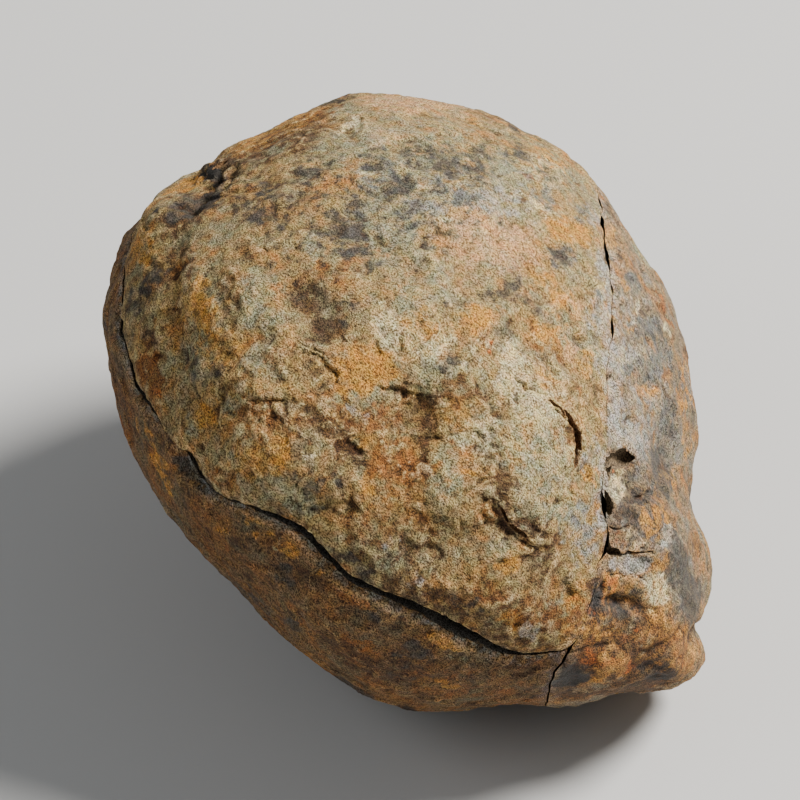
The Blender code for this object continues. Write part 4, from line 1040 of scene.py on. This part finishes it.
def smoothed(values, edges, rounds):
    first, second = edges[:, 0], edges[:, 1]
    count = len(values)
    degree = np.maximum(np.bincount(edges.ravel(), minlength=count), 1)
    for _ in range(rounds):
        total = np.stack([
            np.bincount(first, weights=values[second, k], minlength=count)
            + np.bincount(second, weights=values[first, k], minlength=count) for k in range(3)
        ], axis=1)
        values = 0.5 * values + 0.5 * total / degree[:, None]
    return values


def listed(rows, name, width=1, kind=np.float64):
    values = np.empty(len(rows) * width, dtype=kind)
    rows.foreach_get(name, values)
    return values.reshape(-1, width) if width > 1 else values


# Which corners belong to a face of that slot.
def touching(mesh, slot):
    totals = listed(mesh.polygons, "loop_total", kind=np.int32)
    hit = np.repeat(listed(mesh.polygons, "material_index", kind=np.int32) == slot, totals)
    loops = listed(mesh.loops, "vertex_index", kind=np.int32)
    return np.bincount(loops, weights=hit, minlength=len(mesh.vertices)) > 0


def paintPiece(piece):
    mesh = piece.data
    coords = listed(mesh.vertices, "co", 3)
    normals = listed(mesh.vertices, "normal", 3)
    edges = listed(mesh.edges, "vertices", 2, np.int32)
    points = toLocal(coords, faceAxes)

    onSkin, onWall, inHollow = (touching(mesh, slot) for slot in range(3))
    masks = {"wall": (onWall & ~onSkin).astype(float), "hollow": inHollow.astype(float)}
    for name, (rounds, gain) in paint["dents"].items():
        sunken = np.einsum("ij,ij->i", smoothed(coords, edges, rounds) - coords, normals) / mm
        masks[name] = 0.5 + sunken * gain

    warp = noiseVectors(points, paint["warpSize"], (5.0, 6.0, 7.0))
    fine = noiseVectors(points, paint["fineWarpSize"], (8.0, 9.0, 10.0))
    spots = points + warp * paint["warp"] + fine * paint["fineWarp"]
    for name, rows in stains.items():
        clear = np.ones(len(points))
        for a, b, *rest in rows + washes[name]:
            clear *= 1.0 - stainMask(spots, surfacePoint(a, b, 1), *rest)
        for row in strewnRows[name]:
            clear *= 1.0 - stainMask(spots, *row)
        masks[name] = 1.0 - clear

    # The seam's lips take painted shading, the break line's lips a pale colour.
    for name, key in (("seam", "seamLipShading"), ("breakLine", "breakLip")):
        _, opening, away = crackOffset(name, points)
        share = np.clip(opening / paint["lipOpening"], paint["lipLeast"], 1.0)
        masks[key] = np.exp(-(away / paint["lipReach"]) ** 2) * share

    for name, values in masks.items():
        layer = mesh.attributes.new(name, "FLOAT", "POINT")
        layer.data.foreach_set("value", np.clip(values, 0.0, 1.0).astype(np.float32))


def linear(value):
    return value / 12.92 if value <= 0.04045 else ((value + 0.055) / 1.055) ** 2.4


# A colour given in the levels of a screen, out of 255.
def tint(red, green, blue):
    return [linear(level / 255.0) for level in (red, green, blue)] + [1.0]


# Stains in the order in which they lie over each other.
colours = {
    "pink": tint(180, 140, 98),
    "cream": tint(198, 178, 132),
    "moss": tint(134, 128, 98),
    "ochre": tint(174, 122, 50),
    "rust": tint(122, 76, 34),
    "umberAndShade": tint(74, 50, 30),
    "lilac": tint(153, 144, 129),
    "ash": tint(100, 97, 88),
    "slate": tint(64, 58, 50),
    "darkStainAndShade": tint(36, 31, 27),
    "ember": tint(172, 96, 38),
}

# What the crust of all three stones has in common. A ramp is given by its two ends. A noise
# is given by its rate, unless the grain's size sets that, and its detail, roughness and shift.
crust = {
    "raggedness": 1.6,
    "coverRamp": (0.3, 0.84),
    "edgeRamp": (0.02, 0.3),
    "speckle": (2.0, 0.75, 1.0),
    "mottle": (4.0, 0.65, 30.0),
    "mottleRate": 0.18,
    # share, rate and shift of the pale and of the dark grains
    "grains": (("paleShare", 0.8, 50.0), ("darkShare", 0.62, 90.0)),
    "grainRamp": (0.55, 0.3),
    "mottleRise": 0.8,
    "paleRise": 0.25,
    "darkRise": -0.3,
    # ramps of the dust and painted shade in the dents, and of the wear and painted highlight on the high
    # spots
    "dirtRamp": (0.55, 0.85),
    "wearRamp": (0.45, 0.2),
    # unevenness that breaks up the edges of the stains, the rest of it being speckle
    "breakUp": (1.05, 2.0, 0.5, 170.0),
    "breakUpShare": 0.95,
    # broad drift of the ground colour
    "drifts": (
        ("groundCool", (0.2, 2.0, 0.55, 110.0), (0.32, 0.7)),
        ("groundWarm", (0.34, 2.4, 0.6, 120.0), (0.44, 0.74)),
        ("groundDark", (0.5, 2.4, 0.6, 130.0), (0.5, 0.76)),
    ),
    "lipRamp": (0.35, 0.6),
    # warmer, cooler, greener and redder minerals
    "hues": (
        ("coolGrain", "warmGrain", (0.8, 1.0, 0.5, 210.0)),
        ("greenGrain", "redGrain", (1.4, 0.0, 0.5, 250.0)),
    ),
    "hueRamp": (0.34, 0.66),
    "saltRamp": (0.38, 0.62),
    "shadeRamp": (0.36, 0.64, 0.92, 1.08),
    "grainCover": 0.8,
    "roughRamp": (0.3, 0.7),
    "roughDown": 0.06,
    "roughUp": 0.05,
}


def stainLayerTree():
    inputs = {"colour": "Color", "mask": "Float", "breakUp": "Float", "stain": "Color", "strength": "Float"}
    build, given = newGroup("stainLayer", "ShaderNodeTree", inputs, {"colour": "Color"})
    uneven = build.math("SUBTRACT", given["breakUp"], 0.5)
    ragged = build.math("MULTIPLY_ADD", uneven, crust["raggedness"], given["mask"])
    faded = build.math("MULTIPLY", given["strength"], build.ramp(given["mask"], *crust["edgeRamp"]))
    cover = build.math("MULTIPLY", build.ramp(ragged, *crust["coverRamp"]), faded)
    build.node("NodeGroupOutput", colour=build.mixed(cover, given["colour"], given["stain"]))
    return build.tree


# Fine grain of the crust: speckle, broader mottle, pale and dark mineral grains, and a height.
def crustGrainTree():
    inputs = {"place": "Vector", "way": "Vector"}
    inputs.update({name: "Float" for name in ("stretch", "grainSize", "paleShare", "darkShare")})
    outputs = {name: "Float" for name in ("speckle", "mottle", "pale", "dark", "height")}
    build, given = newGroup("crustGrain", "ShaderNodeTree", inputs, outputs)
    place = build.stretched(given["place"], given["way"], given["stretch"])
    rate = build.math("DIVIDE", 1.0, given["grainSize"])
    speckle = build.noise(place, rate, *crust["speckle"])
    mottle = build.noise(place, build.math("MULTIPLY", rate, crust["mottleRate"]), *crust["mottle"])
    grains = []
    for share, factor, shift in crust["grains"]:
        cells = build.cells(build.shifted(place, shift), build.math("MULTIPLY", rate, factor))
        chosen = build.node("ShaderNodeSeparateColor", Color=cells["Color"]).outputs[0]
        some = build.math("LESS_THAN", chosen, given[share])
        grains.append(build.math("MULTIPLY", build.ramp(cells["Distance"], *crust["grainRamp"]), some))
    pale, dark = grains
    height = speckle
    for part, rise in ((mottle, "mottleRise"), (pale, "paleRise"), (dark, "darkRise")):
        height = build.math("MULTIPLY_ADD", part, crust[rise], height)
    build.node("NodeGroupOutput", speckle=speckle, mottle=mottle, pale=pale, dark=dark, height=height)
    return build.tree


# Dust and painted shade in the dents, wear and painted highlight on the high spots.
def weatherAndLightTree():
    inputs = {name: "Color" for name in ("colour", "dirt", "wear")}
    inputs.update({name: "Float" for name in ("dentSmall", "dentBroad", "dirtAmount", "wearAmount")})
    build, given = newGroup("weatheringAndPaintedLight", "ShaderNodeTree", inputs, {"colour": "Color"})
    small, broad = (build.math("MULTIPLY", given[name], 0.5) for name in ("dentSmall", "dentBroad"))
    dent = build.math("ADD", small, broad)
    colour = given["colour"]
    for key in ("dirt", "wear"):
        amount = build.math("MULTIPLY", build.ramp(dent, *crust[key + "Ramp"]), given[key + "Amount"])
        colour = build.mixed(amount, colour, given[key])
    build.node("NodeGroupOutput", colour=colour)
    return build.tree


def stoneMaterial(name, look, trees):
    material = bpy.data.materials.new(name)
    material.use_nodes = True
    build = Tree(material.node_tree)
    shader = material.node_tree.nodes["Principled BSDF"]
    place = build.vector("SCALE", build.node("ShaderNodeTexCoord").outputs["Object"], scale=1.0 / mm)

    def mask(key):
        return build.node("ShaderNodeAttribute", {"attribute_name": key}).outputs["Fac"]

    def blotches(shape, ramp):
        return build.ramp(build.noise(place, *shape), *ramp)

    sizes = {key: look[key] for key in ("stretch", "grainSize", "paleShare", "darkShare")}
    grain = build.group(trees["grain"], place=place, way=bedding, **sizes)
    speckle = grain["speckle"]
    share = crust["breakUpShare"]
    fineShare = build.math("MULTIPLY", speckle, 1.0 - share)
    breakUp = build.math("MULTIPLY_ADD", build.noise(place, *crust["breakUp"]), share, fineShare)

    colour = look["ground"]
    for key, shape, ramp in crust["drifts"]:
        colour = build.mixed(blotches(shape, ramp), colour, look[key])
    for key, stain in colours.items():
        colour = build.group(
            trees["stain"], colour=colour, mask=mask(key), breakUp=breakUp, stain=stain,
            strength=look["stainStrength"],
        )["colour"]
    # Painted shading along the seam's lips: a dark brown shade on the upper stone, a half-lit grey band on
    # the lower one.
    for key in ("seamLipShading", "breakLip"):
        lips = build.math("MULTIPLY", mask(key), look[key + "Amount"])
        cover = build.math("MULTIPLY", lips, build.ramp(breakUp, *crust["lipRamp"]))
        colour = build.mixed(cover, colour, look[key])

    # Dust and painted shade darken the dents, wear and painted highlight lighten the high spots; slate and
    # the dark stains and painted shade keep their dark on the high spots.
    dark = build.math("MAXIMUM", mask("slate"), mask("darkStainAndShade"))
    colour = build.group(
        trees["weatherAndLight"], colour=colour, dentSmall=mask("dentSmall"), dentBroad=mask("dentBroad"),
        dirt=look["dirt"], wear=look["wear"], dirtAmount=look["dirtAmount"],
        wearAmount=build.math("MULTIPLY_ADD", dark, -look["wearAmount"], look["wearAmount"]),
    )["colour"]
    for low, high, shape in crust["hues"]:
        hue = build.mixed(blotches(shape, crust["hueRamp"]), look[low], look[high])
        colour = build.mixed(1.0, colour, hue, "MULTIPLY")

    # Salt-and-pepper grain: every spot a little lighter or darker than its neighbour.
    salt = build.mixed(build.ramp(speckle, *crust["saltRamp"]), look["speckleDark"], look["speckleLight"])
    salt = build.vector("SCALE", salt, scale=build.ramp(grain["mottle"], *crust["shadeRamp"]))
    colour = build.mixed(1.0, colour, salt, "MULTIPLY")
    for key in ("pale", "dark"):
        cover = build.math("MULTIPLY", grain[key], crust["grainCover"])
        colour = build.mixed(cover, colour, look[key], "MULTIPLY")
    for key in ("hollow", "wall"):
        colour = build.mixed(mask(key), colour, build.mixed(1.0, look[key], salt, "MULTIPLY"))
    build.feed(shader.inputs["Base Color"], colour)

    smoothest, roughest = look["roughness"] - crust["roughDown"], look["roughness"] + crust["roughUp"]
    rough = build.ramp(speckle, *crust["roughRamp"], smoothest, roughest)
    glossy = build.math("MULTIPLY", mask("slate"), look["slateGloss"])
    build.feed(shader.inputs["Roughness"], build.math("SUBTRACT", rough, glossy))
    shader.inputs["Specular IOR Level"].default_value = look["specular"]
    depth = look["bumpDepth"] * mm
    bump = build.node("ShaderNodeBump", Height=grain["height"], Strength=look["bump"], Distance=depth)
    build.feed(shader.inputs["Normal"], bump.outputs["Normal"])
    return material


upperLook = {
    "ground": tint(148, 121, 75),
    "groundCool": tint(134, 125, 93),
    "groundWarm": tint(154, 107, 56),
    "groundDark": tint(92, 69, 42),
    "stainStrength": 0.88,
    # painted shade along the seam's lip
    "seamLipShading": tint(84, 66, 46),
    "seamLipShadingAmount": 0.75,
    "breakLip": tint(138, 128, 130),
    "breakLipAmount": 0.6,
    # dust and painted shade in the dents
    "dirt": tint(54, 34, 18),
    # wear and painted highlight on the high spots
    "wear": tint(196, 168, 118),
    "dirtAmount": 0.75,
    "wearAmount": 0.5,
    "speckleDark": (0.26, 0.22, 0.16, 1.0),
    "speckleLight": (1.78, 1.84, 1.94, 1.0),
    "warmGrain": (1.09, 1.0, 0.87, 1.0),
    "coolGrain": (0.93, 0.99, 1.1, 1.0),
    "greenGrain": (0.97, 1.03, 0.97, 1.0),
    "redGrain": (1.03, 0.98, 1.0, 1.0),
    "pale": (1.6, 1.66, 1.78, 1.0),
    "dark": (0.44, 0.39, 0.3, 1.0),
    "paleShare": 0.07,
    "darkShare": 0.11,
    "hollow": tint(124, 92, 60),
    # crack walls painted near black: painted shade inside the cracks, which the end stone keeps too
    "wall": tint(52, 44, 36),
    "grainSize": 0.13,
    "stretch": 1.5,
    "roughness": 0.9,
    "slateGloss": 0.1,
    "specular": 0.3,
    "bump": 0.8,
    "bumpDepth": 0.16,
}

lowerLook = dict(
    upperLook,
    ground=tint(108, 78, 46),
    groundCool=tint(92, 80, 58),
    groundWarm=tint(120, 79, 43),
    groundDark=tint(60, 43, 28),
    wall=tint(98, 92, 84),
    # a half-lit grey band painted along the seam's lip
    seamLipShading=tint(120, 116, 106),
    seamLipShadingAmount=1.0,
    # wear and painted highlight on the high spots
    wear=tint(150, 116, 74),
    pale=(2.0, 2.08, 2.2, 1.0),
    paleShare=0.1,
    speckleDark=(0.17, 0.14, 0.1, 1.0),
    speckleLight=(1.9, 1.95, 2.04, 1.0),
)

endLook = dict(
    upperLook,
    ground=tint(126, 103, 70),
    groundCool=tint(120, 112, 95),
    groundWarm=tint(142, 96, 46),
    groundDark=tint(64, 50, 36),
    hollow=tint(108, 90, 66),
    speckleDark=(0.17, 0.15, 0.11, 1.0),
    speckleLight=(1.9, 1.95, 2.04, 1.0),
    breakLip=tint(158, 146, 134),
    breakLipAmount=0.5,
    # wear and painted highlight on the high spots, weaker than on the upper stone
    wear=tint(178, 132, 76),
    wearAmount=0.25,
    slateGloss=0.25,
    roughness=0.84,
    specular=0.4,
)

print("shaping the skin")
strewnRows = strewnPlaces()
rawSkin = buildSkin()
weatheredSkin = linked("weatheredSkin", useTree(rawSkin, reliefTree(), dict(relief, stone=markers[0])))

print("cutting the pieces")
seamAbove, seamBelow = crackBlock("seam", 1.0), crackBlock("seam", -1.0)
breakRight, breakLeft = crackBlock("breakLine", 1.0), crackBlock("breakLine", -1.0)
groundCut = groundBlock()
balls = [(row[0], hollowBall(number, *row[1:])) for number, row in enumerate(hollows["places"], start=1)]


def chipsOf(name):
    return [("DIFFERENCE", ball) for stone, ball in balls if stone == name]


upperStone = cutPiece(
    "upperStone", [("INTERSECT", breakLeft), ("INTERSECT", seamAbove)] + chipsOf("upperStone")
)
lowerStone = cutPiece(
    "lowerStone", [("INTERSECT", breakLeft), ("INTERSECT", seamBelow), ("DIFFERENCE", groundCut)]
)
endStone = cutPiece("endStone", [("INTERSECT", breakRight)] + chipsOf("endStone"))
cutters = [seamAbove, seamBelow, breakRight, breakLeft, groundCut] + [ball for stone, ball in balls]
for spare in [rawSkin, weatheredSkin] + cutters:
    spareMesh = spare.data
    bpy.data.objects.remove(spare)
    bpy.data.meshes.remove(spareMesh)

print("painting the stones")
trees = {"stain": stainLayerTree(), "grain": crustGrainTree(), "weatherAndLight": weatherAndLightTree()}
stones = (
    (upperStone, "upper_half", "upper_stone", upperLook),
    (lowerStone, "lower_half", "lower_stone", lowerLook),
    (endStone, "end_piece", "end_stone", endLook),
)
for stone, node, slot, look in stones:
    paintPiece(stone)
    stone.data.materials.clear()
    stone.data.materials.append(stoneMaterial(stone.name + "Crust", look, trees))
    stone.data.polygons.foreach_set("material_index", np.zeros(len(stone.data.polygons), dtype=np.int32))
    stone.data.shade_smooth()
    stone.data.set_sharp_from_angle(angle=math.radians(paint["sharpAngle"]))
    stone.data.update()
    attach(stone, "root")
    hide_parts(node)
    triangles = sum(len(polygon.vertices) - 2 for polygon in stone.data.polygons)
    print(stone.name, "triangles:", triangles)
for marker in markers:
    bpy.data.materials.remove(marker)

stage = {
    "floorHalf": 1.2,
    "floorColour": (0.62, 0.61, 0.59, 1.0),
    "floorRoughness": 0.9,
    "worldColour": (0.9, 0.95, 1.0, 1.0),
    "worldStrength": 0.2,
    # right, up and out from the middle in metres; size, power, colour
    "lights": {
        "keyLight": ((0.4, 0.42, 0.3), 0.22, 9.5, (1.0, 0.98, 0.95)),
        "fillLight": ((-0.5, 0.2, 0.45), 0.5, 1.0, (0.92, 0.96, 1.0)),
    },
    "distance": 0.7,
    "aim": (-0.576, 0.384),
    "sensor": 36.0,
    "lens": 328.1,
}


def addStage():
    middle = Vector(face["middle"]) * mm
    half = stage["floorHalf"]
    mesh = bpy.data.meshes.new("floor")
    corners = [(-half, -half, 0), (half, -half, 0), (half, half, 0), (-half, half, 0)]
    mesh.from_pydata(corners, [], [(0, 1, 2, 3)])
    floor = linked("floor", mesh)
    material = bpy.data.materials.new("paleFloor")
    material.use_nodes = True
    shader = material.node_tree.nodes["Principled BSDF"]
    shader.inputs["Base Color"].default_value = stage["floorColour"]
    shader.inputs["Roughness"].default_value = stage["floorRoughness"]
    mesh.materials.append(material)

    world = bpy.data.worlds.new("studio")
    world.use_nodes = True
    background = world.node_tree.nodes["Background"]
    background.inputs["Color"].default_value = stage["worldColour"]
    background.inputs["Strength"].default_value = stage["worldStrength"]
    bpy.context.scene.world = world

    for name, (offset, size, power, colour) in stage["lights"].items():
        lamp = bpy.data.lights.new(name, "AREA")
        lamp.shape = "DISK"
        lamp.size = size
        lamp.energy = power
        lamp.color = colour
        light = linked(name, lamp)
        away = offset[0] * faceRight + offset[1] * faceUp + offset[2] * faceOut
        light.location = middle + away
        light.rotation_euler = (-away).to_track_quat("-Z", "Y").to_euler()

    lens = bpy.data.cameras.new("camera")
    lens.sensor_width = stage["sensor"]
    lens.lens = stage["lens"]
    camera = linked("camera", lens)
    a, b = stage["aim"]
    camera.location = middle + (a * faceRight + b * faceUp) * mm + stage["distance"] * faceOut
    camera.rotation_euler = (-faceOut).to_track_quat("-Z", "Y").to_euler()
    bpy.context.scene.camera = camera


print("setting the stage")
addStage()
